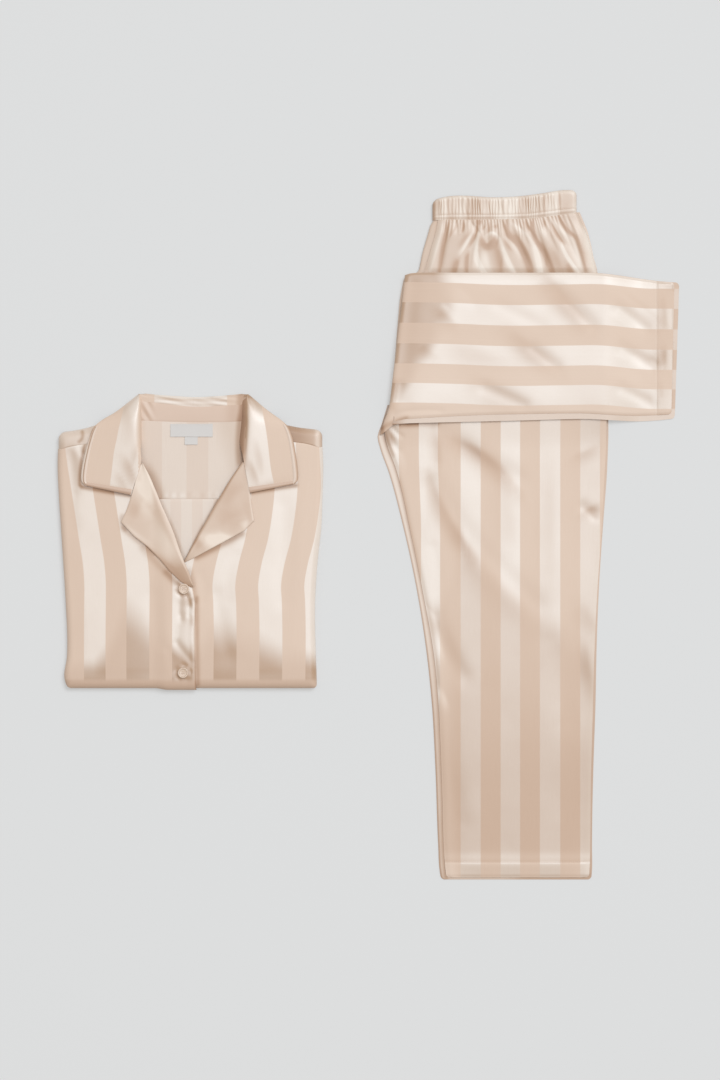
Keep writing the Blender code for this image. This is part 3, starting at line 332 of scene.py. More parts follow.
KNOT_SHADE = Table(FOLDS, [             # where the two legs meet, on the leg turned across
    (17, 150, 19, 145, 20, 136, 0.34, 3.5), (20, 150, 32, 158, 52, 163, 0.2, 3.5),
    (24, 170, 24, 160, 20, 152, 0.08, 5), (36, 212, 37, 196, 33, 178, 0.1, 6)])
LEG_CONTACT_SHADE = Table(FOLDS, [            # and on the leg that runs down, painted as contact shade under the turned leg
    (20, 150, 50, 157, 94, 156, 0.36, 4), (90, 160, 150, 165, 330, 166, 0.16, 4),
    (21, 148, 26, 132, 34, 112, 0.36, 3.2), (56, 157, 72, 158, 90, 154, 0.22, 5),
    (150, -60, 180, -100, 205, -130, 0.03, 30), (152, -120, 168, -150, 174, -200, 0.025, 20)])
STRIP_SHADE = Table(FOLDS, [            # and on the strip of the under panel beside it
    (18, 150, 23, 136, 33, 114, 0.36, 4.2), (33, 112, 40, 90, 47, 60, 0.12, 2)])
SHIRT_SHADE = Table("x start full amount", [    # down each stripe: where the shade starts, is full
    (-432.6, -184, -196, 0.94), (-383.6, -182, -196, 0.9), (-366.8, -158, -192, 0.92),
    (-338.8, -84, -140, 0.8), (-308, -118, -166, 0.78), (-275.8, -147, -168, 0.9),
    (-242.2, -164, -184, 0.9), (-218.4, -117, -166, 1.0), (-186.2, -126, -174, 1.04),
    (-154, -140, -176, 0.92), (-121.8, -158, -190, 0.92), (-89.6, -166.6, -186.2, 1.0),
    (-71.4, -175, -191.8, 1.0)])
SHIRT_SHEEN = Table(FOLDS, [
    (-428, 122, -418, 114, -404, 112, 0.28, 8), (-400, 144, -397, 136, -404, 130, 0.7, 2.6),
    (-412, 116, -402, 96, -404, 66, 0.3, 11),
    (-276, -150, -260, -164, -244, -180, -0.1, 6), (-256, -72, -254, -86, -252, -102, 0.55, 6),
    (-262, -96, -256, -110, -258, -126, 0.3, 5),
    (-247, -86, -249, -94, -246, -100, 0.6, 2.6), (-252, -100, -247, -106, -244, -112, -0.5, 2.4),
    (-246, -112, -248, -120, -245, -128, 0.5, 2.6), (-274, -168, -266, -180, -262, -186, 0.5, 5),
    (-245, -150, -247, -160, -244, -172, 0.35, 2.6), (-270, -120, -268, -136, -270, -150, -0.3, 5),
    (-236, -50, -230, -66, -234, -84, -0.3, 6), (-180, 40, -186, 10, -196, -20, 0.2, 12)])
SHIRT_CONTACT = Table(FOLDS, [         # shade on the fronts beside what lies over them
    (-316, -19, -290, -45, -264, -73, 0.12, 5), (-342, 10, -326, -6, -300, -24, 0.24, 4.5),
    (-344, 26, -348, 18, -340, 8, 0.18, 3.5), (-403, 70, -404, 94, -395, 130, 0.36, 2.6),
    (-400, 67, -364, 60, -331, 55, 0.44, 3), (-102, 69, -136, 64, -166, 59, 0.44, 3),
    (-178, 2, -206, -14, -240, -30, 0.36, 5),
    (-250, -50, -244, -66, -242, -92, 0.14, 4), (-256, -86, -262, -84, -268, -76, 0.20, 3),
    (-240, -88, -239.5, -140, -238.5, -208, 0.22, 3), (-282, -52, -272, -62, -262, -70, 0.2, 5)])
COLLAR_SHEEN = Table(FOLDS, [
    (-342, 108, -330, 88, -325, 66, 0.55, 7), (-340, 176, -330, 150, -328, 120, 0.25, 8),
    (-352, 86, -344, 74, -338, 62, 0.35, 5), (-322, 130, -325, 110, -330, 96, 0.3, 4),
    (-171, 186, -173, 140, -174, 92, 0.75, 7), (-168, 104, -160, 88, -156, 70, 0.5, 5),
    (-158, 130, -150, 104, -150, 84, 0.3, 5), (-392, 74, -370, 68, -340, 62, 0.4, 5),
    (-102, 78, -130, 70, -160, 64, 0.4, 5)])
LAPEL_SHEEN = Table(FOLDS, [
    (-314, 110, -308, 66, -304, 40, -0.8, 9), (-324, 76, -318, 64, -312, 52, -0.5, 6),
    (-330, 60, -316, 40, -300, 22, -0.25, 6),
    (-300, 20, -286, -6, -268, -34, -0.35, 10), (-343, 14, -330, 4, -306, -12, -0.25, 5),
    (-330, -4, -300, -22, -268, -56, 0.3, 6), (-172, 22, -170, 14, -176, 8, -0.5, 5),
    (-318, 60, -322, 40, -330, 24, 0.3, 9), (-230, -4, -208, -6, -186, -8, -0.85, 9),
    (-176, 74, -196, 60, -204, 40, 0.3, 14), (-176, 34, -196, 26, -212, 16, 0.3, 12),
    (-172, 60, -168, 30, -166, 18, 0.2, 8),
    (-226, 0, -216, -8, -206, -14, -0.2, 8), (-244, -2, -240, -10, -232, -18, 0.3, 6),
    (-214, 6, -204, 0, -194, -4, -0.25, 5),
    (-198, 12, -184, 14, -170, 20, 0.22, 9), (-248, 6, -240, -6, -232, -16, 0.22, 8)])
HIP_SHEEN = Table(FOLDS, [
    (92, 433, 84, 400, 78, 376, 0.8, 1.8), (113, 438, 104, 412, 97, 356, 0.8, 2.6),
    (124, 433, 119, 426, 113, 416, 0.3, 2), (132, 438, 134, 430, 129, 421, 0.5, 2.2),
    (147, 428, 135, 416, 126, 400, 0.35, 3.2), (154, 438, 150, 416, 140, 403, 0.6, 2.8),
    (148, 440, 153, 436, 158, 439, 0.5, 3), (139, 394, 136, 384, 137, 362, 0.7, 3),
    (125, 386, 121, 376, 118, 358, 0.55, 4.5), (156, 417, 163, 392, 176, 415, 0.8, 4.6),
    (177, 414, 184, 395, 183, 356, 0.45, 6.5), (162, 432, 160, 428, 157, 425, 0.35, 2),
    (168, 438, 169, 428, 166, 419, 0.5, 2), (177, 434, 178, 431, 177, 427, 0.5, 3),
    (192, 440, 190, 420, 205, 408, 0.65, 4), (200, 420, 224, 396, 228, 354, 0.9, 4.6),
    (188, 413, 194, 403, 200, 396, 0.35, 2.4), (229, 441, 226, 418, 244, 398, 1.0, 3),
    (238, 408, 252, 388, 260, 354, 0.85, 3.6), (252, 404, 262, 385, 272, 358, 0.3, 7),
    (216, 440, 220, 432, 225, 424, 0.5, 3), (245, 440, 245, 435, 245, 429, 0.4, 2.6),
    (255, 434, 262, 418, 273, 406, 0.7, 2.2), (266, 446, 272, 428, 288, 416, 0.75, 2.8),
    (286, 418, 300, 404, 304, 358, 0.4, 4.6), (276, 380, 281, 371, 287, 358, 0.5, 5),
    (103, 437, 95, 408, 82, 360, -0.4, 5), (149, 434, 140, 410, 126, 391, -0.5, 2.6),
    (156, 428, 146, 400, 152, 380, -0.6, 3.2), (151, 392, 153, 372, 170, 358, -0.6, 3.4),
    (160, 398, 162, 384, 168, 364, -0.4, 7), (163, 417, 174, 430, 184, 410, -0.5, 2.4),
    (183, 412, 190, 388, 208, 358, -0.7, 3.6), (190, 416, 204, 406, 212, 386, -0.35, 2.2),
    (198, 436, 220, 424, 232, 402, -0.35, 2.6), (230, 406, 238, 388, 242, 354, -0.8, 4),
    (240, 430, 243, 422, 248, 414, -0.25, 4), (258, 440, 276, 416, 286, 412, -0.3, 4),
    (284, 414, 291, 395, 299, 360, -0.45, 4), (269, 407, 273, 390, 297, 362, -0.9, 2.2),
    (300, 430, 309, 406, 319, 356, -0.45, 3.2)])
NECK_SHADE = Table("y reach", [(95, 12), (112, 13.5), (140, 13.5), (158, 12), (175, 9), (190, 8)])
WAIST_SHEEN = Table("x lit", [
    (88, 0.08), (95, 0.16), (101, 0.28), (107, 0.32), (112, 0.08), (120, 0.14), (130, 0.28), (137, 0.02),
    (150, -0.02), (158, 0.1), (170, 0.14), (177, 0.36), (190, 0.46), (203, 0.46), (209, 0.28),
    (213, 0.06), (225, 0.12), (233, 0.2), (242, 0.05), (252, 0.32), (262, 0.36), (267, 0.08),
    (275, 0.06), (285, 0.2), (290, 0.18)])
WAIST_CREASE_SHADE = Table(FOLDS, [            # painted shade of sharper creases across the waistband, in its colour only
    (99, 468, 100, 458, 99, 444, 0.3, 1.0), (111, 470, 110, 460, 112, 446, 0.3, 1.0),
    (153, 470, 154, 460, 157, 447, 0.5, 0.9), (126, 470, 125, 460, 126, 448, 0.25, 0.8),
    (143, 470, 144, 460, 142, 448, 0.25, 0.8), (166, 470, 168, 458, 170, 448, 0.3, 0.9),
    (188, 470, 188, 460, 190, 448, 0.3, 0.8), (210, 472, 210, 460, 212, 449, 0.5, 0.9),
    (222, 472, 222, 462, 224, 450, 0.3, 0.8), (234, 474, 234, 462, 236, 450, 0.3, 0.8),
    (244, 474, 245, 462, 247, 451, 0.4, 0.9), (257, 476, 257, 464, 258, 452, 0.3, 0.8),
    (266, 480, 266, 466, 267, 454, 0.5, 0.9)])


# ---------------------------------------------------------------- small maths
CURVE_POINTS = 64       # along the line of each fold


def ease(low, high, value):
    """0 before low, 1 after high, and a smooth S between."""
    s = np.clip((value - low) / (high - low), 0, 1)
    return s * s * (3 - 2 * s)


def between(first, second, share):
    """From the first to the second by a share of the way."""
    return first + (second - first) * share


def near(reach, distance):
    """1 at an edge and past it, falling smoothly to 0 at its reach."""
    return 1 - ease(0, reach, distance)


def groove(distance, width, depth=1.0):
    """A bell by the distance to a line, such as a seam pressed into the cloth."""
    return depth * np.exp(-(distance / width) ** 2)


def waves(x, y, size):
    """Slow unevenness of laid cloth, from -1 to 1: two crossed sines, each bent by the other."""
    return 0.5 * (np.sin(x / size + 1.3 * np.sin(y / (1.7 * size)))
                  + np.sin(y / (1.2 * size) + 1.1 * np.sin(x / (1.4 * size)) + 2))


def roll_steps(reach, count):
    """Distances in from a folded edge at equal angles of its quarter roll."""
    return reach * (1 - np.cos(np.linspace(0, math.pi / 2, count + 1)))


def roll_drop(distance, reach, drop):
    """How far cloth lies under its flat part at this distance in from a folded edge."""
    back = 1 - np.clip(distance / reach, 0, 1)
    return drop * (1 - np.sqrt(1 - back ** 2))


def corner_inset(distance, radius):
    """Inset of a side near a rounded corner, by the distance to the corner's other side."""
    return roll_drop(distance, radius, radius)


def nearest_edge(*distances):
    """Smooth least of the distances to several edges, 0 on each of them."""
    total = sum(1 / np.maximum(d, 1e-4) ** 3 for d in distances)
    return np.where(np.min(distances, axis=0) <= 1e-3, 0, total ** (-1 / 3))


def fold_line(row, x, y):
    """The curve of a row of folds, and how far every point is from each place on it, squared."""
    start_x, start_y, bend_x, bend_y, end_x, end_y = row[:6]
    s = np.linspace(0, 1, CURVE_POINTS)
    line_x = (1 - s) ** 2 * start_x + 2 * s * (1 - s) * bend_x + s * s * end_x
    line_y = (1 - s) ** 2 * start_y + 2 * s * (1 - s) * bend_y + s * s * end_y
    return s, line_x, line_y, (x[..., None] - line_x) ** 2 + (y[..., None] - line_y) ** 2


def fold_depth(folds, x, y):
    """Depth of the soft folds at a point: a bell across each fold, round at both ends."""
    depth = np.zeros_like(x)
    for row in folds.rows:
        deep, reach = row[6:]
        depth += deep * np.exp(-fold_line(row, x, y)[-1].min(axis=-1) / reach ** 2)
    return depth


def streaks(lines, x, y):
    """Like fold_depth, but fading to nothing at both ends of a line and softer on one side of it."""
    amount = np.zeros_like(x)
    for row in lines.rows:
        deep, reach = row[6:]
        s, line_x, line_y, away = fold_line(row, x, y)
        closest = away.argmin(axis=-1)
        run_x, run_y = row[4] - row[0], row[5] - row[1]
        side = (x - line_x[closest]) * run_y - (y - line_y[closest]) * run_x
        soft = reach * (1.05 + 0.35 * np.tanh(2 * side / (reach * math.hypot(run_x, run_y))))
        fade = np.sin(math.pi * (0.05 + 0.9 * s[closest])) ** 0.7
        amount += deep * np.exp(-away.min(axis=-1) / soft ** 2) * fade
    return amount


def evened(grid, times):
    """Every column but the first and last drawn halfway to the mean of its neighbours, this often."""
    grid = grid.copy()
    for _ in range(times):
        grid[:, 1:-1] = grid[:, 1:-1] * 0.5 + (grid[:, :-2] + grid[:, 2:]) * 0.25
    return grid


# ---------------------------------------------------------------- heights
def shirt_edge_distance(x, y):
    """Distance in from the folded shirt's outline."""
    return nearest_edge(x - SHIRT_SIDES.at("left", y), SHIRT_SIDES.at("right", y) - x,
                        y - SHIRT_BOTTOM, SHIRT_TOP.at("y", x) - y)


def shirt_top(x, y, layer):
    """Upper face of a layer of the shirt: flat with soft folds, rolled down at the outline."""
    from_edge = shirt_edge_distance(x, y)
    relief = (SHIRT_RELIEF - fold_depth(SHIRT_FOLDS, x, y)) * ease(0, SHIRT_FREE, from_edge)
    return (SHIRT_STACK + layer * LAYER + np.maximum(relief, 0)
            - roll_drop(from_edge, SHIRT_ROLL, SHIRT_DROP))


def left_front_layer(x):
    """The left front lies on the hidden layers, and rises one layer over the other front."""
    return 2 + ease(*OVERLAP, x)


def hip_relief(x, y):
    """How the hip stands up: folds run down from the waist seam, none at either side."""
    relief = np.maximum(HIP_FULLNESS - HIP_FOLD_SHARE * streaks(HIP_FOLDS, x, y), HIP_LEAST)
    relief = relief * (1 - HIP_DRAWN_IN * ease(*HIP_DRAWN_ROWS, y))
    from_left, from_right = x - HIP_SIDES.at("left", y), HIP_SIDES.at("right", y) - x
    return relief * ease(0, 16, from_right) * ease(0, 10, from_left)


def hip_top(x, y):
    """Upper face of the hip: its relief, flat under the turned leg and rolled down at the side."""
    from_right = HIP_SIDES.at("right", y) - x
    return (HIP_STACK + LAYER + hip_relief(x, y) * ease(*HIP_SHOWS, y)
            - roll_drop(from_right, HIP_ROLL, HIP_DROP))


def leg_crown(share, folds):
    """Stand of a leg's upper panel: full but at either side of its width, less its folds."""
    return np.maximum(LEG_CROWN * (1 - np.abs(2 * share - 1) ** 5) - folds, 0)


def turned_floor(x):
    """Underside of the turned leg: on the hip, then down to the surface beyond it."""
    on_hip = HIP_STACK + LAYER + TURNED_LIFT
    return between(GAP, on_hip, 1 - ease(*TURNED_RAMP, x))


def turned_crown(x, y, up, from_fold):
    """Stand of the turned leg's upper panel: low crown, soft folds, hem step, rolled at the fold."""
    before, stitch, end = TURNED_HEM
    crown = leg_crown(up, fold_depth(TURNED_FOLDS, x, y)) * (1 - ease(stitch, end, x))
    return crown + HEM_STEP * ease(before, stitch, x) - roll_drop(from_fold, LEG_ROLL, LEG_ROLL_DROP)


def lower_front_top(x, y):
    """Upper face of the lower leg: low crown, soft folds, hem step, and up onto the hip's layers."""
    left, right = LOWER_OVER.at("left", y), LOWER_OVER.at("right", y)
    across = np.clip((x - left) / (right - left), 0, 1)
    stitch = LOWER_HEM + HEM_DEPTH
    crown = leg_crown(across, fold_depth(LEG_FOLDS, x, y)) * ease(LOWER_HEM, stitch, y)
    hem = HEM_STEP * (1 - ease(stitch - HEM_RAMP, stitch + HEM_RAMP, y))
    on_hip = ease(*HIP_RAMP, y)
    return LAYER + WALL + hem + crown * (1 - on_hip) + (HIP_STACK - WALL) * on_hip


# ---------------------------------------------------------------- finishes
class Signal:
    """A node's output that can be added, subtracted and multiplied in plain expressions."""

    def __init__(self, finish, socket):
        self.finish, self.socket = finish, socket

    def maths(self, operation, first, second):
        return self.finish.node("ShaderNodeMath", {"operation": operation}, {0: first, 1: second})

    def alone(self, operation):
        return self.finish.node("ShaderNodeMath", {"operation": operation}, {0: self})

    def power(self, exponent):
        return self.maths("POWER", self, exponent)

    def __add__(self, other):
        return self.maths("ADD", self, other)

    __radd__ = __add__

    def __sub__(self, other):
        return self.maths("SUBTRACT", self, other)

    def __rsub__(self, other):
        return self.maths("SUBTRACT", other, self)

    def __mul__(self, other):
        return self.maths("MULTIPLY", self, other)

    __rmul__ = __mul__


class Finish:
    """A material; every node of it comes from `node`."""

    def __init__(self, name, constants):
        self.material = bpy.data.materials.new(name)
        self.material.use_nodes = True
        self.tree = self.material.node_tree
        self.shader = self.tree.nodes["Principled BSDF"]
        for socket, value in constants.items():
            self.shader.inputs[socket].default_value = value

    def node(self, kind, settings=None, sockets=None, output=0):
        """A node of a type: its settings first, then the values or links of its sockets."""
        made = self.tree.nodes.new(kind)
        for name, value in (settings or {}).items():
            setattr(made, name, value)
        for socket, value in (sockets or {}).items():
            self.feed(made.inputs[socket], value)
        return Signal(self, made.outputs[output])

    def feed(self, socket, value):
        if isinstance(value, Signal):
            self.tree.links.new(value.socket, socket)
        else:
            socket.default_value = value

    def shade(self, socket, value):
        self.feed(self.shader.inputs[socket], value)

    def mix(self, factor, first, second):
        """From the first colour to the second."""
        return self.node("ShaderNodeMix", {"data_type": "RGBA"}, {0: factor, 6: first, 7: second}, 2)

    def tint(self, colour, amount):
        """A colour made darker or lighter by a number that varies; the darker, the warmer."""
        green, blue = (amount.power(exponent) for exponent in WARMTH)
        grey = self.node("ShaderNodeCombineColor", None, {0: amount, 1: green, 2: blue})
        return self.node("ShaderNodeMix", {"data_type": "RGBA", "blend_type": "MULTIPLY"},
                         {0: 1.0, 6: colour, 7: grey}, 2)

    def smooth(self, value, low, high):
        """0 under low, 1 over high, and a smooth S between."""
        return self.node("ShaderNodeMapRange", {"interpolation_type": "SMOOTHSTEP"},
                         {0: value, 1: low, 2: high, 3: 0.0, 4: 1.0})

    def field(self, name):
        """A number stored at the cloth's points."""
        return self.node("ShaderNodeAttribute", {"attribute_name": name}, output=2)

    def place(self):
        """Where a point is on the object, in metres."""
        return self.node("ShaderNodeTexCoord", output=3)

    def noise(self, vector, scale, detail=2.0):
        return self.node("ShaderNodeTexNoise", None, {"Vector": vector, "Scale": scale, "Detail": detail})

    def bump(self, height, distance, strength, normal=None):
        sockets = {"Height": height, "Distance": distance, "Strength": strength}
        if normal is not None:
            sockets["Normal"] = normal
        return self.node("ShaderNodeBump", None, sockets)


def colour(red, green, blue):
    """A colour given in sRGB, from 0 to 255, as the shader's linear values."""
    values = np.array([red, green, blue]) / 255
    linear = np.where(values > 0.04045, ((values + 0.055) / 1.055) ** 2.4, values / 12.92)
    return (*linear.tolist(), 1.0)


SATIN_KEEPS = 0.45      # share of a shade that satin throws back
WARMTH = (1.45, 1.85)   # how much faster green and blue go down than red in shaded cloth
HALF_STRIPE = 0.25      # half the width of a satin stripe, as a share of the repeat
STRIPE_EDGE = 0.007     # softness of its edge, the same way
REPEAT = 60             # mm that a repeat measures, roughly, for the lines of the weave
WARP_PITCH = 0.45       # mm between the fine warp lines that the bump draws
WARP_RUN = 0.03         # how slowly a warp line changes along the cloth
DRIFT, CREPE, RIPPLE = 14.0, 1500.0, 38.0       # scales of the cloth's noises, in waves a metre
DRIFT_TONE, WARP_TONE = 0.25, 0.06              # how much drift and warp show in the colour
CLOTH_LIKE = {"Roughness": 0.5, "Sheen Weight": 0.12, "Sheen Roughness": 0.4,
              "Specular IOR Level": 0.45, "Coat Roughness": 0.32, "Coat IOR": 1.7}
SATIN_GLOSS = (0.36, 0.66)                      # roughness of satin and of matte stripes


def striped_cloth(name, satin, satin_shaded, matte, matte_shaded, gloss=SATIN_GLOSS, coat=0.5):
    """Satin and matte stripes of one weave; each has a colour in the light and a painted colour in shade,
    turned from it.
    """
    finish = Finish(name, CLOTH_LIKE)
    across_along = finish.node("ShaderNodeUVMap", {"uv_map": "cloth"})
    across, along = (finish.node("ShaderNodeSeparateXYZ", None, {0: across_along}, k) for k in (0, 1))
    place = finish.place()
    tone, shade, plain = finish.field("tone"), finish.field("shade"), finish.field("plain")

    # distance from the middle of the nearest satin stripe, in repeats
    away = ((across + HALF_STRIPE).alone("FRACT") - 0.5).alone("ABSOLUTE")
    in_matte = finish.smooth(away, HALF_STRIPE - STRIPE_EDGE, HALF_STRIPE + STRIPE_EDGE)
    stripe = (1 - in_matte) * (1 - plain)

    lines = finish.node("ShaderNodeCombineXYZ", None,
                        {0: across * (REPEAT / WARP_PITCH), 1: along * WARP_RUN})
    warp = finish.noise(lines, 1.0)
    drift = finish.noise(place, DRIFT)
    tone = tone + (drift - 0.5) * DRIFT_TONE
    # tone, painted on the cloth, picks between the lit and the shaded colours, and shade darkens them:
    # painted light and shade
    in_light = finish.mix(stripe, matte, satin)
    turned = finish.mix(stripe, matte_shaded, satin_shaded)
    seen = finish.mix(tone, turned, in_light)
    shade = shade + (1 - shade) * (stripe * SATIN_KEEPS)
    finish.shade("Base Color", finish.tint(seen, shade * (1 - WARP_TONE / 2 + WARP_TONE * warp)))
    finish.shade("Roughness", gloss[1] + stripe * (gloss[0] - gloss[1]))
    finish.shade("Coat Weight", stripe * coat)

    crepe = finish.noise(place, CREPE, 1.0)
    ripple = finish.noise(place, RIPPLE, 3.0)
    fine = finish.bump(crepe + warp * 0.6, 0.00005, 0.5)
    finish.shade("Normal", finish.bump(ripple, 0.0009, 0.35, fine))
    return finish.material


def plain_cloth(name, in_light, turned, rough=0.42, coat=0.35):
    """The same satin with no stripe, as on the facings and the bound edges; turned is its painted colour in
    shade.
    """
    return striped_cloth(name, in_light, turned, in_light, turned, (rough, rough), coat)


def shell_button(name):
    """Pale shell: cloudy bands, clear gloss."""
    finish = Finish(name, {"Roughness": 0.22, "Coat Weight": 0.6, "Coat Roughness": 0.08,
                           "Subsurface Weight": 0.0})
    cloud = finish.noise(finish.place(), 260.0, 3.0)
    finish.shade("Base Color", finish.mix(cloud, colour(202, 176, 152), colour(230, 211, 192)))
    finish.shade("Roughness", 0.16 + cloud * 0.2)
    return finish.material


def woven_tape(name):
    """White label tape: two sets of fine threads."""
    finish = Finish(name, {"Roughness": 0.7, "Sheen Weight": 0.2})
    sockets = {"Vector": finish.place(), "Scale": 420.0}
    weft, warp = (finish.node("ShaderNodeTexWave", {"bands_direction": axis}, sockets, 1)
                  for axis in ("Y", "X"))
    threads = (weft + warp) * 0.5
    finish.shade("Base Color", finish.mix(threads, colour(207, 204, 200), colour(225, 223, 220)))
    finish.shade("Normal", finish.bump(threads, 0.00006, 0.6))
    return finish.material


def sewing_thread(name, thread_colour):
    """Twisted thread, a little lighter than the cloth."""
    finish = Finish(name, {"Roughness": 0.5, "Sheen Weight": 0.1})
    twist = finish.noise(finish.place(), 2600.0, 1.0)
    finish.shade("Base Color", finish.tint(thread_colour, 0.9 + 0.2 * twist))
    return finish.material


# ---------------------------------------------------------------- making pieces
# Amounts of painted tone and shade in the functions below, and the reach of each, are given one by one.
SEAM_TUCK = 1.8         # how far cloth runs on under its neighbour at a seam
UNDERSIDE = 0.80        # undersides and cut edges are in shade,
UNDERSIDE_TONE = 0.4    # and turned from the light
CLOTH = 0.9             # shells are a little thinner than the solids' walls
CUT_EDGE = math.radians(50)         # sharper bends than this aren't smoothed over
FINE = 9                # points round a rolled edge
RIM_STEP = 2.4          # between points round the hidden layers
LIGHT_FROM = (0.64, 0.77)           # towards the window, seen from above
STEEPEST = 0.6          # slopes towards the window count no further than this
GRID = {                # points across and along, besides those of rolled edges and margins
    "front": (96, 160), "shoulder_yoke": (60, 12), "inside_yoke": (90, 70), "inside_back": (60, 70),
    "collar_band": (110, 26), "collar_back": (60,), "button": (72, 61), "label": (40, 24),
    "hip": (220, 120), "turned_under": (120, 40), "turned_over": (280, 110),
    "lower_under": (40, 90), "lower_over": (104, 250),
    "collar_edge": (60, 50, 9),     # along the lower edge, up the outer one and across the band
    "lapel": (44, 14),              # along: for each row of its table
    "waistband": (14, 26)}          # across: for each gather


def quads(index):
    """Faces between the points of a numbered grid, facing up where rows go +Y and columns +X."""
    corners = (index[:-1, :-1], index[:-1, 1:], index[1:, 1:], index[1:, :-1])
    return np.stack([c.ravel() for c in corners], axis=1)


def ring_quads(rows, count):
    """Faces between closed rings of points."""
    index = np.arange(rows * count).reshape(rows, count)
    return quads(np.concatenate([index, index[:, :1]], axis=1))


def closed_rings(rows, count):
    """Faces between closed rings, and fans that close both ends by two more points after them."""
    total = rows * count
    first, last = np.arange(count), np.arange(total - count, total)
    return [ring_quads(rows, count),
            np.stack([np.full(count, total), np.roll(first, -1), first], axis=1),
            np.stack([np.full(count, total + 1), last, np.roll(last, -1)], axis=1)]


def put_in_scene(name, data, place=(0, 0, 0), turn=(0, 0, 0)):
    """An object for a mesh, a light or a camera, at its place in metres and turned."""
    made = bpy.data.objects.new(name, data)
    made.location, made.rotation_euler = place, turn
    bpy.context.scene.collection.objects.link(made)
    return made


def put_mesh(name, points, faces, finish, uv=None, fields=None):
    """A mesh from whole arrays: points in mm, faces of three or four corners, numbers per point."""
    mesh = bpy.data.meshes.new(name)
    corners = np.concatenate([f.ravel() for f in faces]).astype(np.int32)
    sizes = np.concatenate([np.full(len(f), f.shape[1]) for f in faces])
    mesh.vertices.add(len(points))
    mesh.vertices.foreach_set("co", (np.asarray(points) * MM).astype(np.float32).ravel())
    mesh.loops.add(len(corners))
    mesh.loops.foreach_set("vertex_index", corners)
    mesh.polygons.add(len(sizes))
    mesh.polygons.foreach_set("loop_start", (np.cumsum(sizes) - sizes).astype(np.int32))
    mesh.update(calc_edges=True)
    if uv is not None:
        layer = mesh.uv_layers.new(name="cloth")
        layer.data.foreach_set("uv", uv[corners].astype(np.float32).ravel())
    for key, value in (fields or {}).items():
        field = mesh.attributes.new(key, "FLOAT", "POINT")
        field.data.foreach_set("value", value.astype(np.float32).ravel())
    mesh.validate()
    mesh.shade_smooth()
    mesh.set_sharp_from_angle(angle=CUT_EDGE)
    mesh.materials.append(finish)
    piece = put_in_scene(name, mesh)
    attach(piece, "root")
    return piece


def normals_of(grid):
    """Unit normals of a grid of points: across the cloth crossed with along it."""
    normal = np.cross(np.gradient(grid, axis=1), np.gradient(grid, axis=0))
    return normal / np.maximum(np.linalg.norm(normal, axis=-1, keepdims=True), 1e-9)


def cloth(name, node, finish, slot, x, y, z, count=0.0, tone=1.0, shade=1.0, plain=0.0, wall=CLOTH):
    """A closed shell: the grid is the outer face, the inner one lies a wall under it along the
    normals, and quads join the two round the rim. count is the place across the stripes, tone
    goes from turned away to in the light, shade darkens and plain takes the stripes away."""
    grid = np.stack(np.broadcast_arrays(x, y, z), axis=-1).astype(float)
    shape = grid.shape[:2]
    values = {"tone": tone, "shade": shade, "plain": plain, "count": count}
    values = {key: np.broadcast_to(value, shape) for key, value in values.items()}
    normal = normals_of(grid)
    if normal[..., 2].mean() < 0:
        grid, normal = grid[:, ::-1], -normal[:, ::-1]
        values = {key: value[:, ::-1] for key, value in values.items()}
    inner = grid - normal * wall
    index = np.arange(shape[0] * shape[1]).reshape(shape)
    rim = np.concatenate([index[0, :-1], index[:-1, -1], index[-1, :0:-1], index[:0:-1, 0]])
    after, under = np.roll(rim, -1), index.size
    top = quads(index)
    faces = [top, top[:, ::-1] + under, np.stack([rim, rim + under, after + under, after], axis=1)]
    step = np.linalg.norm(np.diff(grid, axis=0, prepend=grid[:1]), axis=-1)
    uv = np.stack([values.pop("count"), np.cumsum(step, axis=0)], axis=-1).reshape(-1, 2)
    fields = {key: np.tile(value.ravel(), 2) for key, value in values.items()}
    fields["shade"][under:] *= UNDERSIDE
    fields["tone"][under:] *= UNDERSIDE_TONE
    points = np.concatenate([grid.reshape(-1, 3), inner.reshape(-1, 3)])
    piece = put_mesh(name, points, faces, finish, np.tile(uv, (2, 1)), fields)
    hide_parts(node)
    return piece


def folded_layers(name, node, finish, outline, rim, wander):
    """Hidden layers: a smooth closed curve through the outline, drawn in at each height of the rim
    and closed by fans at both middles. The layers' edges wander a little along the rim."""
    outline = np.array(outline, float)
    closed = np.concatenate([outline, outline[:1]])
    run = np.concatenate([[0], np.cumsum(np.hypot(*np.diff(closed, axis=0).T))])
    where = np.linspace(0, run[-1], int(run[-1] / RIM_STEP), endpoint=False)
    around = np.stack([np.interp(where, run, closed[:, k]) for k in (0, 1)], axis=1)
    for _ in range(6):
        neighbours = np.roll(around, 1, axis=0) + np.roll(around, -1, axis=0)
        around = around * 0.5 + neighbours * 0.25
    middle = (outline.min(axis=0) + outline.max(axis=0)) / 2
    half = (outline.max(axis=0) - outline.min(axis=0)) / 2
    steps = np.linspace(0, len(rim.rows) - 1, 3 * len(rim.rows) - 2)
    height, inset = (np.interp(steps, np.arange(len(rim.rows)), rim.column(key))[:, None]
                     for key in ("height", "inset"))
    turn = np.linspace(0, 2 * math.pi, len(where), endpoint=False)[None, :]
    uneven = wander * (np.sin(5 * turn + 1) + 0.6 * np.sin(13 * turn) + 0.4 * np.sin(29 * turn + 2))
    height = height + uneven * 0.3 * np.sin(math.pi * height / height.max())
    inset = inset + uneven * 0.2 * np.sin(math.pi * height / height.max())
    scale = 1 - inset[..., None] / half
    rings = np.concatenate([middle + (around - middle) * scale, height[..., None]], axis=-1)
    ends = [[*middle, rim.column("height")[0]], [*middle, rim.column("height")[-1]]]
    points = np.concatenate([rings.reshape(-1, 3), ends])
    uv = np.stack([points[:, 0] / LAYERS_REPEAT, points[:, 1]], axis=1)
    fields = {key: np.full(len(points), value)
              for key, value in (("tone", 0.45), ("shade", 1.0), ("plain", 0.5))}
    piece = put_mesh(name, points, closed_rings(*rings.shape[:2]), finish, uv, fields)
    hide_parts(node)
    return piece


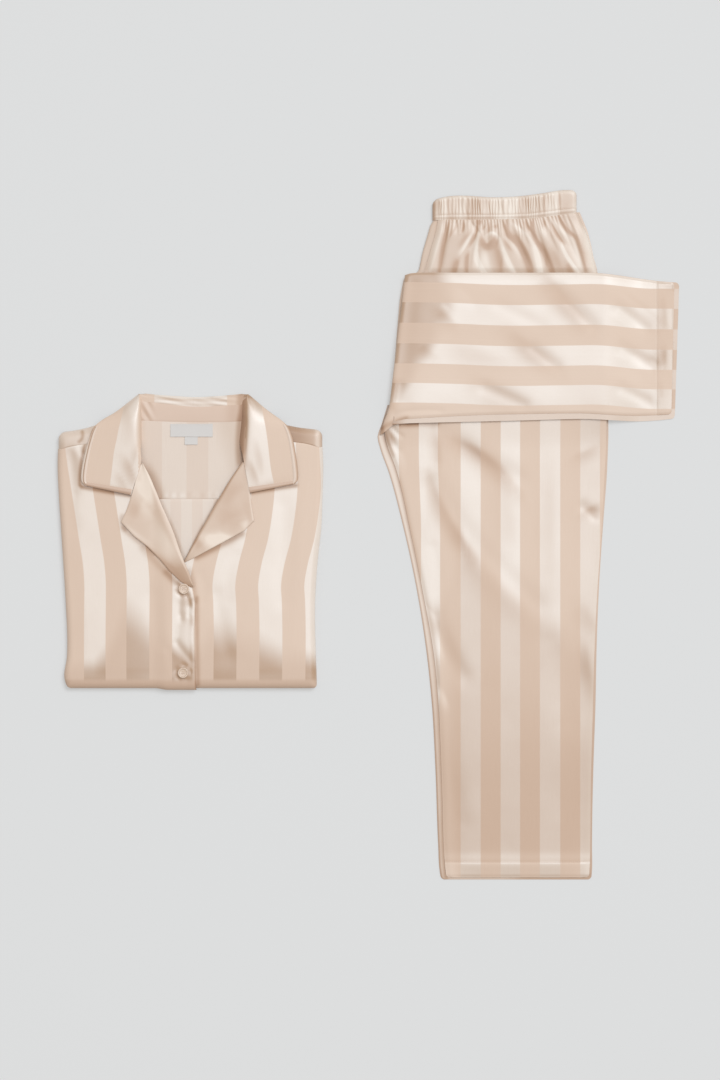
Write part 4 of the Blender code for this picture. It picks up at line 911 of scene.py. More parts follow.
def count_stripes(stripes, across):
    """Stripe count at a place across the cloth, even between the table's rows and past its ends."""
    place, count = stripes.column("across"), stripes.column("count")
    inside = np.interp(across, place, count)
    before = (across - place[0]) * (count[1] - count[0]) / (place[1] - place[0])
    beyond = (across - place[-1]) * (count[-1] - count[-2]) / (place[-1] - place[-2])
    return inside + np.minimum(before, 0) + np.maximum(beyond, 0)


def facing_light(x, y, z):
    """How steeply a grid's surface falls towards the window: above 0 where it faces the light; the pieces
    paint light and shade into their tone from it.
    """
    rows = [np.gradient(v, axis=0) for v in (x, y, z)]
    columns = [np.gradient(v, axis=1) for v in (x, y, z)]
    area = columns[0] * rows[1] - rows[0] * columns[1]
    area = np.where(np.abs(area) < 1e-6, 1e-6, area)
    slope_x = (columns[2] * rows[1] - rows[2] * columns[1]) / area
    slope_y = (columns[0] * rows[2] - rows[0] * columns[2]) / area
    return np.clip(-(slope_x * LIGHT_FROM[0] + slope_y * LIGHT_FROM[1]), -STEEPEST, STEEPEST)


BEAD_ALONG = (-0.5, -0.42, -0.2, 0.2, 0.42, 0.5)        # rings of a stitch, in stitch lengths
BEAD_ROUND = (0.05, 0.6, 1, 1, 0.6, 0.05)               # and their radii, in half widths
BEAD_SIDES = 6


def stitches(name, finish, path, pitch=2.6, length=1.7, width=0.42):
    """Lockstitches along a path: each is a bead, round across and tapered at both ends, half
    sunk in the cloth; one bead is repeated at even distances by adding whole arrays."""
    path = np.asarray(path, float)
    run = np.concatenate([[0], np.cumsum(np.linalg.norm(np.diff(path, axis=0), axis=1))])
    centre = np.arange(pitch, run[-1] - pitch / 2, pitch)
    middle, ahead = (np.stack([np.interp(centre + step, run, path[:, k]) for k in range(3)], axis=1)
                     for step in (0, 0.5))
    ahead = ahead - middle
    ahead /= np.linalg.norm(ahead, axis=1, keepdims=True)
    side = np.cross(ahead, [0, 0, 1.0])
    side /= np.linalg.norm(side, axis=1, keepdims=True)
    over = np.cross(side, ahead)
    rings = len(BEAD_ALONG)
    along = np.array(BEAD_ALONG)[:, None] * length
    radius = np.array(BEAD_ROUND)[:, None] * width / 2
    turn = np.linspace(0, 2 * math.pi, BEAD_SIDES, endpoint=False)[None, :]
    parts = [np.broadcast_to(v, (rings, BEAD_SIDES)).ravel()[None, :, None]
             for v in (along, radius * np.cos(turn), radius * np.sin(turn))]
    bead = parts[0] * ahead[:, None] + parts[1] * side[:, None] + parts[2] * over[:, None]
    points = (middle[:, None] + bead).reshape(-1, 3)
    cap = np.array([[0, 5, 4, 3], [0, 3, 2, 1]])
    far_cap = rings * BEAD_SIDES - BEAD_SIDES + np.array([[0, 1, 2, 3], [0, 3, 4, 5]])
    one = np.concatenate([ring_quads(rings, BEAD_SIDES), cap, far_cap])
    shift = (np.arange(len(centre)) * rings * BEAD_SIDES)[:, None, None]
    return put_mesh(name, points, [(one[None] + shift).reshape(-1, 4)], finish)


# ---------------------------------------------------------------- shirt
FOLD_ROWS = (-205.0, -199.0)        # the lower fold, where the stripes give way to plain shade
FOLD_END = -203.0                   # rows are even above this
FOLD_GLOW = -197.0                  # a painted highlight where the shaded fold catches a little light
SEAM_ROWS_FROM = 60.0               # from here up, rows follow the seam to the yoke
SHOULDER_LEVEL = 135.0              # the shirt's sides are straight where the yoke covers them
UNDER_LAPEL = {                     # a front is pulled back under its lapel: from, low down, high up
    "left": (-60.0, 1.5, 1.5), "right": (-40.0, 1.5, 4.5)}
YOKE_LIGHT_AND_SHADE = (                   # side, its direction inwards, painted tone, painted shade and plainness: the right one lies in painted shade
    ("left", 1, 0.75, 0.04, 0.15), ("right", -1, 0.0, 0.29, 0.6))
NECK_LEFT = -318.0                  # left side of the neck's inside,
NECK_RIGHT = (-186.0, 130.0, 0.35)  # and its right side: x, at which y, and how it leans
PUCKERED = 5.0                      # puckers are deepest this far above the back's yoke seam
COLLAR_MIDDLE = -250.0              # the collar's stripes are counted from both sides to here
LEFT_LEAF_X, RIGHT_LEAF_X = -321.0, -172.0      # the collar's back lies between these


def shirt_outline():
    """Outline of the folded shirt from above, anticlockwise from the lower left corner."""
    def side(column, sign):
        y = np.concatenate([SHIRT_BOTTOM + roll_steps(SHIRT_CORNER, 4), np.linspace(-200, 120, 13)])
        x = SHIRT_SIDES.at(column, y) + sign * corner_inset(y - SHIRT_BOTTOM, SHIRT_CORNER)
        return np.stack([x, y], axis=1)
    bottom = [(x, SHIRT_BOTTOM) for x in np.linspace(-400, -95, 6)]
    right_corner = [(-66, 133), (-69, 142), (-76, 147)]
    left_corner = [(-424, 144), (-431, 138), (-433, 130)]
    top = [(x, float(SHIRT_TOP.at("y", x))) for x in np.linspace(-97, -405, 10)]
    return np.array([*bottom, *side("right", -1), *right_corner, *top, *left_corner,
                     *side("left", 1)[::-1]])


def shirt_tone(x, y, z):
    """Painted sheen of the fronts: gone where the lower fold turns down and along the sheen lines, less
    beside what lies over them, more where they face the window.
    """
    start, full = SHIRT_SHADE.straight("start", x), SHIRT_SHADE.straight("full", x)
    shaded = SHIRT_SHADE.straight("amount", x) * (1 - ease(full - 4, start + 14, y))
    regained = 0.16 * groove(y - FOLD_GLOW, 6) * (0.6 + 0.4 * waves(x, 0, 13))
    lit = 0.94 + 1.2 * facing_light(x, y, z) * ease(6, 20, shirt_edge_distance(x, y))
    lit = lit - 1.8 * fold_depth(SHIRT_CONTACT, x, y)
    return np.clip(lit - shaded + regained - streaks(SHIRT_SHEEN, x, y), 0, 1)


def button_puckers(x, y):
    """Cloth pulled in round each button: a ring-shaped dip with uneven rays."""
    dip = np.zeros_like(x)
    for bx, by in BUTTONS:
        away, turn = np.hypot(x - bx, y - by), np.arctan2(y - by, x - bx)
        rays = 0.6 + 0.4 * np.sin(5 * turn + 0.8)
        dip += 0.9 * rays * groove(away - BUTTON_RADIUS - 3, 2.6)
    return dip


def under_seam(past):
    """How far cloth dips by its distance past a seam: a soft bend, then in under its neighbour."""
    return groove(past, 1.3, 0.35) + 0.9 * ease(-0.2, SEAM_TUCK, past)


def front_surface(x, y, layer):
    """Height of a front with its finer creases and slow unevenness, kept off the rolled edges."""
    inside = ease(4, 26, shirt_edge_distance(x, y))
    fine = fold_depth(SHIRT_CREASES, x, y) + 0.18 * (waves(x, y, 17) + 1)
    return shirt_top(x, y, layer) - inside * np.minimum(fine, 1.3) - under_seam(y - YOKE_LINE.at("y", x))


def front_grid(side, sign, edge_line):
    """Points of a front from the rolled outline to its own edge, and how far they are from that
    edge. Rows are close together round the lower fold, and the last ones follow the yoke's seam."""
    columns, count = GRID["front"]
    y = np.concatenate([SHIRT_BOTTOM + roll_steps(SHIRT_ROLL, FINE),
                        np.linspace(FOLD_END, YOKE_SEAM - 4, count),
                        np.linspace(YOKE_SEAM - 3.2, YOKE_SEAM + SEAM_TUCK, 10)])[:, None]
    edge = edge_line.at("x", y)
    outer = SHIRT_SIDES.at(side, y) + sign * corner_inset(y - SHIRT_BOTTOM, SHIRT_CORNER)
    flat = outer + sign * SHIRT_ROLL
    x = np.concatenate([outer + sign * roll_steps(SHIRT_ROLL, FINE),
                        between(flat, edge, np.linspace(0, 1, columns)[1:])], axis=1)[:, ::sign]
    start, low, high = UNDER_LAPEL[side]
    pulled = low * ease(start, start + 20, y) + high * ease(50, 75, y)
    x = x - sign * pulled * ease(30, 0, sign * (edge - x))
    rows = y + (YOKE_LINE.at("y", x) - YOKE_SEAM) * ease(SEAM_ROWS_FROM, YOKE_SEAM, y)
    return x, rows, sign * (edge - x), 1 - ease(*FOLD_ROWS, rows)


def make_fronts(finish):
    """The left front, which lies on the edge of the other, and the right one."""
    x, rows, to_edge, at_fold = front_grid("left", 1, FRONT_EDGE_LEFT)
    bulge = OVERLAP_BULGE * ease(-300, -280, x) * near(24, rows - SHIRT_BOTTOM)
    z = front_surface(x, rows, left_front_layer(x)) - button_puckers(x, rows) * ease(1, 4, to_edge)
    z = z + groove(to_edge - 3.5, 3.0, 0.3) - 0.8 * near(3, to_edge)
    # painted shade along the front's edge, beside what lies over it and on the lower fold
    shade = 0.98 - 0.26 * near(2.6, to_edge) - fold_depth(SHIRT_CONTACT, x, rows) - 0.10 * at_fold
    count = count_stripes(STRIPES_LEFT, x - STRIPE_LEAN.at("left", rows))
    cloth("front_left", "shirt_front_left", finish, "shirt_cloth", x, rows - bulge, z, count,
          shirt_tone(x, rows, z), shade, at_fold)

    x, rows, to_edge, at_fold = front_grid("right", -1, FRONT_EDGE_RIGHT)
    z = front_surface(x, rows, 2)
    # painted shade on the lower fold, beside what lies over it and along its edge under the lapel
    shade = (1.015 - 0.10 * at_fold - fold_depth(SHIRT_CONTACT, x, rows)
             - 0.45 * near(7, to_edge) * ease(-40, -20, rows))
    count = count_stripes(STRIPES_RIGHT, x - STRIPE_LEAN.at("right", rows))
    cloth("front_right", "shirt_front_right", finish, "shirt_cloth", x, rows, z, count,
          shirt_tone(x, rows, z), shade, at_fold)


def make_shoulder_yokes(finish):
    """The yoke comes forward over each shoulder fold, down to the seam on the front."""
    rolled = roll_steps(SHIRT_ROLL, FINE)
    columns, lines = GRID["shoulder_yoke"]
    up = np.concatenate([0.08 * np.linspace(0, 1, 7)[:-1], np.linspace(0.08, 0.6, lines),
                         1 - 0.38 * roll_steps(1, FINE)[::-1]])[:, None]
    for side, sign, tone, in_shade, plain in YOKE_LIGHT_AND_SHADE:
        outer = float(SHIRT_SIDES.at(side, SHOULDER_LEVEL))
        neck = NECK_SIDES[side] - sign * GAP
        flat = np.linspace(outer + sign * SHIRT_ROLL, neck, columns)[1:]
        x = np.concatenate([outer + sign * rolled, flat])[None, :]
        from_side = np.abs(x - outer)
        top = SHIRT_TOP.at("y", x) - corner_inset(from_side, SHOULDER_CORNER)
        start = YOKE_LINE.at("y", x) - GAP
        y = between(start, top, up)
        x, from_side = np.broadcast_to(x, y.shape), np.broadcast_to(from_side, y.shape)
        inside = nearest_edge(from_side, top - y)
        z = SHIRT_STACK + 2 * LAYER - roll_drop(inside, SHIRT_ROLL, SHIRT_DROP)
        z = z + 0.9 * ease(2, 12, inside) * (1 - fold_depth(SHIRT_CREASES, x, y))
        z = z - 0.6 * near(1.4, y - start) * ease(4, 12, inside)
        in_shade = in_shade * (1 - 0.8 * ease(-104, -76, x))
        if side == "left":
            in_shade, strip = in_shade + 0.10 * ease(-396, -388, x), 0.0
        else:
            strip = groove(from_side - 6, 4.0, 0.9)         # a painted lit strip beside the outer fold
        cloth("yoke_over_shoulder_" + side, "shoulder_yoke_" + side, finish, "shirt_cloth", x, y, z,
              0.45, np.clip(tone - fold_depth(SHIRT_SHEEN, x, y) + strip, 0, 1),
              1 - in_shade * (1 - strip) - 0.08 * near(1.5, y - start), plain)


def collar_shade(x, y):
    """Painted shade that the right half of the collar throws on the inside of the neck, from 0 to 1."""
    reach = NECK_SHADE.at("reach", y)
    return (1 - ease(reach - 4, reach + 4, RIGHT_LEAF_X - x)) * ease(88, 102, y)


def make_inside_back(finish):
    """Inside of the back yoke, puckered just above its seam, and of the back below it."""
    columns, lines = GRID["inside_yoke"]
    x = np.linspace(NECK_SIDES["left"], NECK_SIDES["right"], columns)[None, :]
    low, high = BACK_YOKE_SEAM - GAP, NECK_SEAM.at("y", x) + GAP
    y = between(low, high, np.linspace(0, 1, lines)[:, None])
    x = np.broadcast_to(x, y.shape)
    above = y - low
    puckers = 0.35 * np.sin(x / 2.3 + 1.5 * np.sin(x / 11)) * groove(above - PUCKERED, 5)
    z = SHIRT_STACK + LAYER + 0.4 * puckers * ease(0, 4, above) - 0.7 * near(1.5, above)
    roll = FRONT_EDGE_LEFT.at("x", y)
    right_x, right_y, lean = NECK_RIGHT
    # painted shade beside the neck's right and left sides and the left lapel's roll line, and the collar's
    # painted shadow
    beside = (0.12 * near(34, right_x - x + lean * (right_y - y)) + 0.06 * near(10, x - NECK_LEFT)
              + 0.30 * near(17, x - roll) * (1 - ease(80, 112, y)) + 0.40 * collar_shade(x, y))
    # a painted shade line at the seam and painted highlights on the puckers, which are also painted lighter
    # and darker in the tone
    shade = (1.02 - beside - 0.05 * groove(above, 0.8)
             + 0.10 * groove(above - PUCKERED, 4) * (0.5 + puckers) * (1 - ease(-262, -246, x)))
    cloth("inside_yoke", "shirt_back_yoke", finish, "shirt_cloth", x, y, z,
          count_stripes(STRIPES_YOKE, x), 0.85 + puckers, shade, 0.5)

    columns, lines = GRID["inside_back"]
    y = np.linspace(BACK_LOW, BACK_YOKE_SEAM + SEAM_TUCK, lines)[:, None]
    half = between(*BACK_HALF_WIDTHS, ease(BACK_LOW, BACK_YOKE_SEAM, y))
    x = BACK_MIDDLE + half * np.linspace(-1, 1, columns)[None, :]
    y = np.broadcast_to(y, x.shape)
    z = SHIRT_STACK + LAYER - 0.12 * (1 + waves(x, y, 9)) - under_seam(y - BACK_YOKE_SEAM)
    # painted shade beside the edges of both fronts, which lie over it
    shade = (1.04 - 0.2 * near(6, x - FRONT_EDGE_LEFT.at("x", y))
             - 0.3 * near(5, FRONT_EDGE_RIGHT.at("x", y) - x))
    cloth("inside_back", "shirt_back", finish, "shirt_cloth", x, y, z,
          count_stripes(STRIPES_BACK, x), 1.0, shade, 0.5)


def make_collar_stand(finish):
    """Plain band between the neck seam and the back of the collar, puckered at its left end."""
    columns, lines = GRID["collar_band"]
    x = np.linspace(*STAND_ENDS, columns)[None, :]
    up = np.linspace(0, 1, lines)[:, None]
    low, high = NECK_SEAM.at("y", x) - GAP, STAND_SEAM.at("y", x) + SEAM_TUCK
    y = between(low, high, up)
    x, up = np.broadcast_to(x, y.shape), np.broadcast_to(up, y.shape)
    pucker = groove(x - NECK_LEFT - 8, 8) * np.sin((1.6 * x + y) / 3.4)
    bulge = (STAND_BULGE - 0.16 * (1 + pucker)) * np.sin(math.pi * up)
    z = SHIRT_STACK + LAYER - 0.3 + bulge + 0.5 * ease(0, 0.08, up) - under_seam(y - STAND_SEAM.at("y", x))
    # painted shade towards the right and at the neck's left side, the collar's painted shadow, and painted
    # light and shade on the puckers
    beside = 0.08 * ease(-206, -188, x) + 0.36 * collar_shade(x, y) + 0.04 * near(12, x - NECK_LEFT)
    cloth("collar_band", "collar_stand", finish, "shirt_cloth", x, y, z, 0.7, 0.8 + 0.5 * pucker,
          1 - beside + 0.06 * pucker)


LEAF_STEPS = 6          # rows between two rows of a leaf's table
LEAF_LAST = 9           # last row of that table
LEAF_ROWS = LEAF_LAST * LEAF_STEPS + 1
BACK_X = (-312.0, -178.0)           # the collar's back reaches between these
ACROSS_STEPS = 4        # the solid's columns are each cut into this many
COLLAR_COLUMNS = (2, 8, 4)          # of the side that slopes in, the leaf, and what turns under
LEAF_REPEAT = 76.0      # mm that the stripes of a leaf would repeat at
BACK_STRIPES = {"left": (-272.0, 110.0), "right": (-228.0, 120.0)}      # middle and repeat
BAND_COLUMNS = (1.3, 10.3)          # the bound edge starts and ends at these columns of the solid
BAND_LAST_ROW = 5.1     # and goes up to this row of the table


def collar_keys(leaf, sign, row):
    """Inner edge, roll, outer edge and tuck of one leaf's sections, as rows of points."""
    roll_x, roll_y, edge_x, edge_y, roll_z, edge_z = (leaf.at(key, row) for key in leaf.columns[1:])
    standing = ease(2, 4, row)          # the neck edge is a seam below; above, the side slopes in
    behind = ease(5.6, 7.6, row)        # the outer edge is free below, folded under above
    turned = ease(7.2, LEAF_LAST, row)  # the neck edge joins the collar's back
    inner_x = roll_x + sign * ((COLLAR_SIDE_WIDTHS[sign] + 1.5) * standing - 1.5) * (1 - turned)
    inner_z = between(roll_z - 0.5, COLLAR_SIDE_LOW, standing)
    inner_y = between(roll_y, STAND_END_Y, turned)
    tuck_y = edge_y - behind * np.minimum(6.0, edge_y - COLLAR_TUCK_Y)
    keys = ((inner_x, inner_y, inner_z), (roll_x - sign * 0.5, roll_y, roll_z),
            (edge_x, edge_y, edge_z),
            (edge_x + sign * behind * 5, tuck_y, edge_z - 0.8 - behind * (edge_z - 1.9)))
    return np.stack([np.stack(np.broadcast_arrays(*key), axis=-1) for key in keys], axis=1)


def collar_grid():
    """Straight runs through each section's four points, then evened out with their neighbours
    as often as rounds the roll and the edge."""
    row = np.linspace(0, LEAF_LAST, LEAF_ROWS)
    left, right = collar_keys(COLLAR_LEAF_LEFT, 1, row), collar_keys(COLLAR_LEAF_RIGHT, -1, row)
    x = np.linspace(*BACK_X, GRID["collar_back"][0])
    top, seam = COLLAR_TOP.at("y", x), STAND_SEAM.at("y", x)
    sections = ((seam, SHIRT_STACK + LAYER), (top - 4, SHIRT_STACK + STAND_BULGE),
                (top, COLLAR_BACK_TOP), (top - COLLAR_BACK_TURN, 2 * GAP))
    back = np.stack([np.stack([x, y, np.full_like(x, z)], axis=-1) for y, z in sections], axis=1)
    keys = np.concatenate([left, back, right[::-1]])
    parts = [keys[:, :1]]
    for k, count in enumerate(COLLAR_COLUMNS):
        share = np.linspace(0, 1, count * ACROSS_STEPS + 1)[1:][None, :, None]
        parts.append(between(keys[:, k:k + 1], keys[:, k + 1:k + 2], share))
    return evened(np.concatenate(parts, axis=1), 2 * ACROSS_STEPS ** 2)


def collar_count(x, y):
    """Stripes of the collar: on each leaf satin runs from the roll to the line, matte beyond it;
    behind the neck one broad satin stripe lies between two matte ends."""
    at_left = x < COLLAR_MIDDLE
    left = (x - COLLAR_LINE.at("left", y)) / LEAF_REPEAT
    right = 0.5 + (x - COLLAR_LINE.at("right", y)) / LEAF_REPEAT
    from_left, from_right = (0.25 + (x - middle) / repeat for middle, repeat in BACK_STRIPES.values())
    return np.where((x > LEFT_LEAF_X) & (x < RIGHT_LEAF_X), np.where(at_left, from_left, from_right),
                    np.where(at_left, left, right))


def on_grid(grid, row, column):
    """Point of a grid surface between its rows and columns."""
    i, j = np.floor(row).astype(int), np.floor(column).astype(int)
    i, j = np.minimum(i, grid.shape[0] - 2), np.minimum(j, grid.shape[1] - 2)
    s, t = (row - i)[..., None], (column - j)[..., None]
    return (grid[i, j] * (1 - s) * (1 - t) + grid[i + 1, j] * s * (1 - t)
            + grid[i, j + 1] * (1 - s) * t + grid[i + 1, j + 1] * s * t)


def make_collar(finish, bound, thread):
    """Both leaves and the back in one piece; painted shade lies on its sloping side and under the leaves."""
    grid = collar_grid()
    x, y, z = np.moveaxis(grid, -1, 0)
    column = (np.arange(grid.shape[1]) / ACROSS_STEPS)[None, :]
    row = np.arange(len(grid))[:, None]
    from_end = np.minimum(row, len(grid) - 1 - row) / LEAF_STEPS        # rows of a leaf's table
    inner = 1 - ease(1.2, 2.8, column)          # 1 on the side that slopes in to the neck
    at_left = 1 - ease(LEAF_ROWS - 8, LEAF_ROWS, row)
    at_right = ease(len(grid) - LEAF_ROWS, len(grid) - LEAF_ROWS + 8, row)
    on_leaf, behind = at_left + at_right, (1 - at_left) * (1 - at_right)
    # painted shade: outer_slope darkens the leaves' upper rows that slope down, deep the right leaf's side
    # that slopes in to the neck, high the top of the right leaf, under_leaf the back under the right leaf's
    # end, and free the rim past the bound edge; light by slope is painted too
    outer_slope = ease(4.5, 7, from_end) * ease(2.6, 7, column) * on_leaf
    standing = ease(1.5, 3.0, from_end)
    deep = inner * standing * at_right
    high = ease(158, 192, y) * (1 - inner) * at_right
    # folds is painted sheen of soft folds behind the neck: it darkens the colour only and is not in the
    # shape
    folds = np.sin(x / 7 + y / 1.4) * np.sin(x / 23 + 1) + 0.6 * np.sin(y / 1.1 + x / 40)
    under_leaf = behind * ease(-188, -179, x)
    tone = 0.93 - streaks(COLLAR_SHEEN, x, y) - 0.45 * outer_slope - 0.9 * deep - 0.55 * high
    tone = tone + 0.5 * facing_light(x, y, z) * ease(3, 5, column) * (1 - ease(9, 10, column))
    tone = tone - 0.3 * behind * (1 + folds) - under_leaf
    free = on_leaf * (1 - ease(5, 5.6, from_end))
    shade = 1.0 - 0.38 * deep - 0.2 * under_leaf - 0.3 * free * ease(10.2, 10.9, column)
    cloth("collar_leaves", "collar", finish, "shirt_cloth", x, y, z, collar_count(x, y),
          np.clip(tone, 0, 1), shade, inner * at_left * standing)
    make_collar_edge("left", grid[:LEAF_ROWS], bound, thread)
    make_collar_edge("right", grid[::-1][:LEAF_ROWS], bound, thread)


def make_collar_edge(side, leaf, finish, thread):
    """Flat band on a leaf's own points, moved out: along its lower edge and up its outer edge.
    A line of stitches runs in the ditch beside it."""
    roll_column, edge_column = (column * ACROSS_STEPS for column in BAND_COLUMNS)
    near_edge = 9 * ACROSS_STEPS            # the grid's steps are measured here
    step_row = EDGE_BAND / np.linalg.norm(leaf[1, near_edge] - leaf[0, near_edge])
    step_column = EDGE_BAND / np.linalg.norm(leaf[1, near_edge] - leaf[1, near_edge - 1])
    low_columns, outer_rows, lines = GRID["collar_edge"]
    low = np.linspace(roll_column, edge_column, low_columns)
    outer = np.linspace(0, BAND_LAST_ROW * LEAF_STEPS, outer_rows)[1:]
    row = np.concatenate([np.zeros_like(low), outer])
    column = np.concatenate([low, np.full_like(outer, edge_column)])
    up = np.concatenate([np.zeros_like(low), np.ones_like(outer)])[None, :]      # 1 up the outer edge
    inner_row, inner_column = np.maximum(row, step_row), np.minimum(column, edge_column - step_column)
    across = np.linspace(0, 1, lines)[:, None]
    grid = on_grid(leaf, between(row, inner_row, across), between(column, inner_column, across))
    grid[..., 2] += 0.5 + 0.45 * np.sin(math.pi * across) - 0.35 * across ** 3 - 0.3 * (1 - across) ** 4
    # painted shade along the band's outer edge, more on the lower run and most on the left leaf's outer run;
    # the tone paints the lower run turned from the light and the outer run lighter
    shade = 1 - 0.12 * near(0.3, across) - 0.14 * (1 - up) * (1 - ease(0.2, 0.7, across))
    if side == "left":
        shade = shade - 0.42 * up * (1 - ease(0.15, 0.6, across))
    cloth("edge_band_" + side, "collar_edge_" + side, finish, "facing_cloth", *np.moveaxis(grid, -1, 0),
          0.0, 0.15 + 0.5 * up, shade, wall=BAND_WALL)
    path = on_grid(leaf, inner_row + 0.12 * step_row * (row < step_row), inner_column - 0.12 * step_column)
    path[:, 2] += 0.05
    stitches("stitches_collar_" + side, thread, path)


def make_lapels(finish):
    """Each lapel turns at its roll line and lies on its front, a little lifted at its free edge."""
    share, drop = LAPEL_ROLL
    columns, lines = GRID["lapel"]
    across = np.concatenate([np.linspace(0, share, FINE)[:-1], np.linspace(share, 1, columns)])[None, :]
    for side, table in (("left", LAPEL_LEFT), ("right", LAPEL_RIGHT)):
        row = np.linspace(0, len(table.rows) - 1, lines * (len(table.rows) - 1) + 1)[:, None]
        roll_x, roll_y = table.at("roll_x", row), table.at("roll_y", row)
        edge_x, edge_y = table.straight("edge_x", row), table.straight("edge_y", row)
        x, y = between(roll_x, edge_x, across), between(roll_y, edge_y, across)
        width = np.hypot(edge_x - roll_x, edge_y - roll_y)
        from_edge = (1 - across) * width
        sewn = 1 - ease(1.8, 2.3, row)      # to the collar, over the first rows
        turned = LAPEL_TURN * (1 - across) ** 1.5 - drop * (1 - np.minimum(across / share, 1)) ** 2
        lift = turned + table.at("edge_lift", row) * across - 0.6 * near(2.2, from_edge) * (1 - sewn)
        lift = lift - 0.2 * (1 + waves(x, y, 8)) * (1 - across) - 0.4 * ease(0, 0.5, across)
        if side == "left":
            layer, tip = 1 + left_front_layer(x), ease(6.4, 8.4, row)
        else:
            layer, tip = 3, 0.0
        z = shirt_top(x, y, layer) + lift - 0.8 * tip * across
        # painted light and shade: sheen lines, a light line along the free edge, light by slope, the left
        # lapel's lower tip in painted shade, a painted dark line at the edge, and painted shade along the
        # right lapel's roll line
        tone = 0.42 - streaks(LAPEL_SHEEN, x, y) + 0.16 * groove(from_edge - 1.4, 1.2)
        tone = tone + 0.5 * facing_light(x, y, z) - 0.5 * tip
        shade = 1 - 0.10 * near(1, from_edge) - 0.2 * tip * ease(0.1, 0.8, across)
        if side == "left":
            tone = tone - 0.03
        else:
            shade = shade - 0.32 * near(4, across * width)
        cloth("lapel_facing_" + side, "lapel_" + side, finish, "facing_cloth", x, y, z, 0.0,
              np.clip(tone, 0, 1), shade)


BUTTON_HOLES = [(x, y) for x in (-1.3, 1.3) for y in (-1.3, 1.3)]
BUTTON_HOLE = (0.5, 0.7)            # radius and depth


def make_buttons(finish, thread):
    """Button: a half profile spun round its middle, with four sewn holes dished into it."""
    rim = [(BUTTON_RADIUS - inset, BUTTON_HEIGHT + height) for inset, height in BUTTON_RIM]
    top = rim[0][1]
    profile = np.array([(0.0, top - 0.25), (2.6, top - 0.15), *rim, (BUTTON_RADIUS, BUTTON_FOOT),
                        (BUTTON_RADIUS - BUTTON_FOOT, 0), (0.05, 0.0)])
    sides, lines = GRID["button"]
    steps = np.linspace(0, len(profile) - 1, lines)
    radius, height = evened(np.stack([np.interp(steps, np.arange(len(profile)), profile[:, k])
                                      for k in (0, 1)]), 3)
    turn = np.linspace(0, 2 * math.pi, sides, endpoint=False)[None, :]
    x, y = radius[:, None] * np.cos(turn), radius[:, None] * np.sin(turn)
    z = np.broadcast_to(height[:, None], x.shape).copy()
    hole_radius, hole_depth = BUTTON_HOLE
    for hole_x, hole_y in BUTTON_HOLES:
        away = ((x - hole_x) ** 2 + (y - hole_y) ** 2) / hole_radius ** 2
        z -= (z > 0.6) * hole_depth * np.exp(-away ** 2)
    ends = [[0, 0, height[0]], [0, 0, height[-1]]]
    points = np.concatenate([np.stack([x, y, z], axis=-1).reshape(-1, 3), ends])
    # the rings run from the top down, so every face is turned over, from the same first corner
    faces = [np.concatenate([f[:, :1], f[:, :0:-1]], axis=1) for f in closed_rings(*x.shape)]
    base = SHIRT_STACK + 3 * LAYER + SHIRT_RELIEF + GAP
    for name, (bx, by) in zip(("top", "bottom"), BUTTONS):
        piece = put_mesh("shell_" + name, points + [bx, by, base], faces, finish)
        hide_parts("button_" + name)
        for k, (hole_x, hole_y) in enumerate(BUTTON_HOLES[:2]):
            sewn = [[bx + hole_x * s, by + hole_y * s, base + top + 0.02 + 0.25 * (1 - s * s)]
                    for s in (-1, -0.5, 0, 0.5, 1)]
            stitches("thread_%s_%d" % (name, k), thread, sewn,
                     pitch=1.0, length=1.3, width=0.5)


def make_labels(finish, thread):
    """Blank tape: it sags a little between its sewn ends, and its lower edge stands off."""
    base = SHIRT_STACK + LAYER + GAP + LABEL_WALL
    columns, lines = GRID["label"]
    for name, left, right, low, high in LABEL_BOXES:
        up, x = np.meshgrid(np.linspace(0, 1, lines), np.linspace(left, right, columns), indexing="ij")
        z = base + 0.5 * (1 - up) ** 2 + 0.08 * np.sin(x / 6)
        cloth(name + "_tape", name, finish, "label_tape", x, between(low, high, up), z, wall=LABEL_WALL)
        if name == "neck_label":
            ends = [[left + 1.5, high - 1.5, base + 0.1], [right - 1.5, high - 1.5, base + 0.1]]
            stitches("stitches_label", thread, ends, pitch=2.0, length=1.3, width=0.3)


# ---------------------------------------------------------------- trousers
WAIST_LINE = 0.21       # share of the waistband's depth that lies under its row of stitches
WAIST_END_SEAM = 267.0  # a seam crosses the band where its smooth end starts
WAIST_STITCHED = (96.0, 284.0)      # its row of stitches runs between these
HIP_SIDE = 0.06         # share of the hip's width that holds its rolled side
HIP_GATHERED = ((94.0, 100.0), (266.0, 278.0))      # small gathers start and end here
HIP_LINE = 9.0          # a faint line runs this far in from the hip's left side,
HIP_LINE_END = (428.0, 440.0)       # and ends here
TURNED_EDGE = 427.0     # the upper panel's hemmed edge
TURNED_SMOOTH = (395.0, 420.0)      # towards it, creases fade out here,
TURNED_EVEN = (392.0, 400.0)        # and so does the light on them
TURNED_SPREAD = 1.15    # columns lie closer together towards the hem
TURNED_LINES = (0.12, 0.88)         # part of a half turn that spaces the lines across it
STITCHED_ROW = 6.97     # where the stitches run, in rows of the turned leg's table
STRIPE_DROP = (300.0, 400.0, 7.0)   # the stripes bend down by this much between two columns
LEG_DIMS = (-400.0, -40.0)          # painted shade: the lower leg gets less bright down between these rows
LEG_SIDE_SHADE = (-300.0, 60.0)     # the shade at its left grows up between these
LEG_DIM_RIGHT = ((205.0, 240.0, 0.13), (270.0, 296.0, 0.17))    # painted shade: it's less bright beyond these,
LEG_DIM_ROWS = (-230.0, -160.0)     # above here
LEG_STRIPE_PULL = 3.2   # its first stripe is pulled aside by this much,
LEG_PULLED = ((0.0, 120.0), (100.0, 124.0))     # from these rows up, and no further right
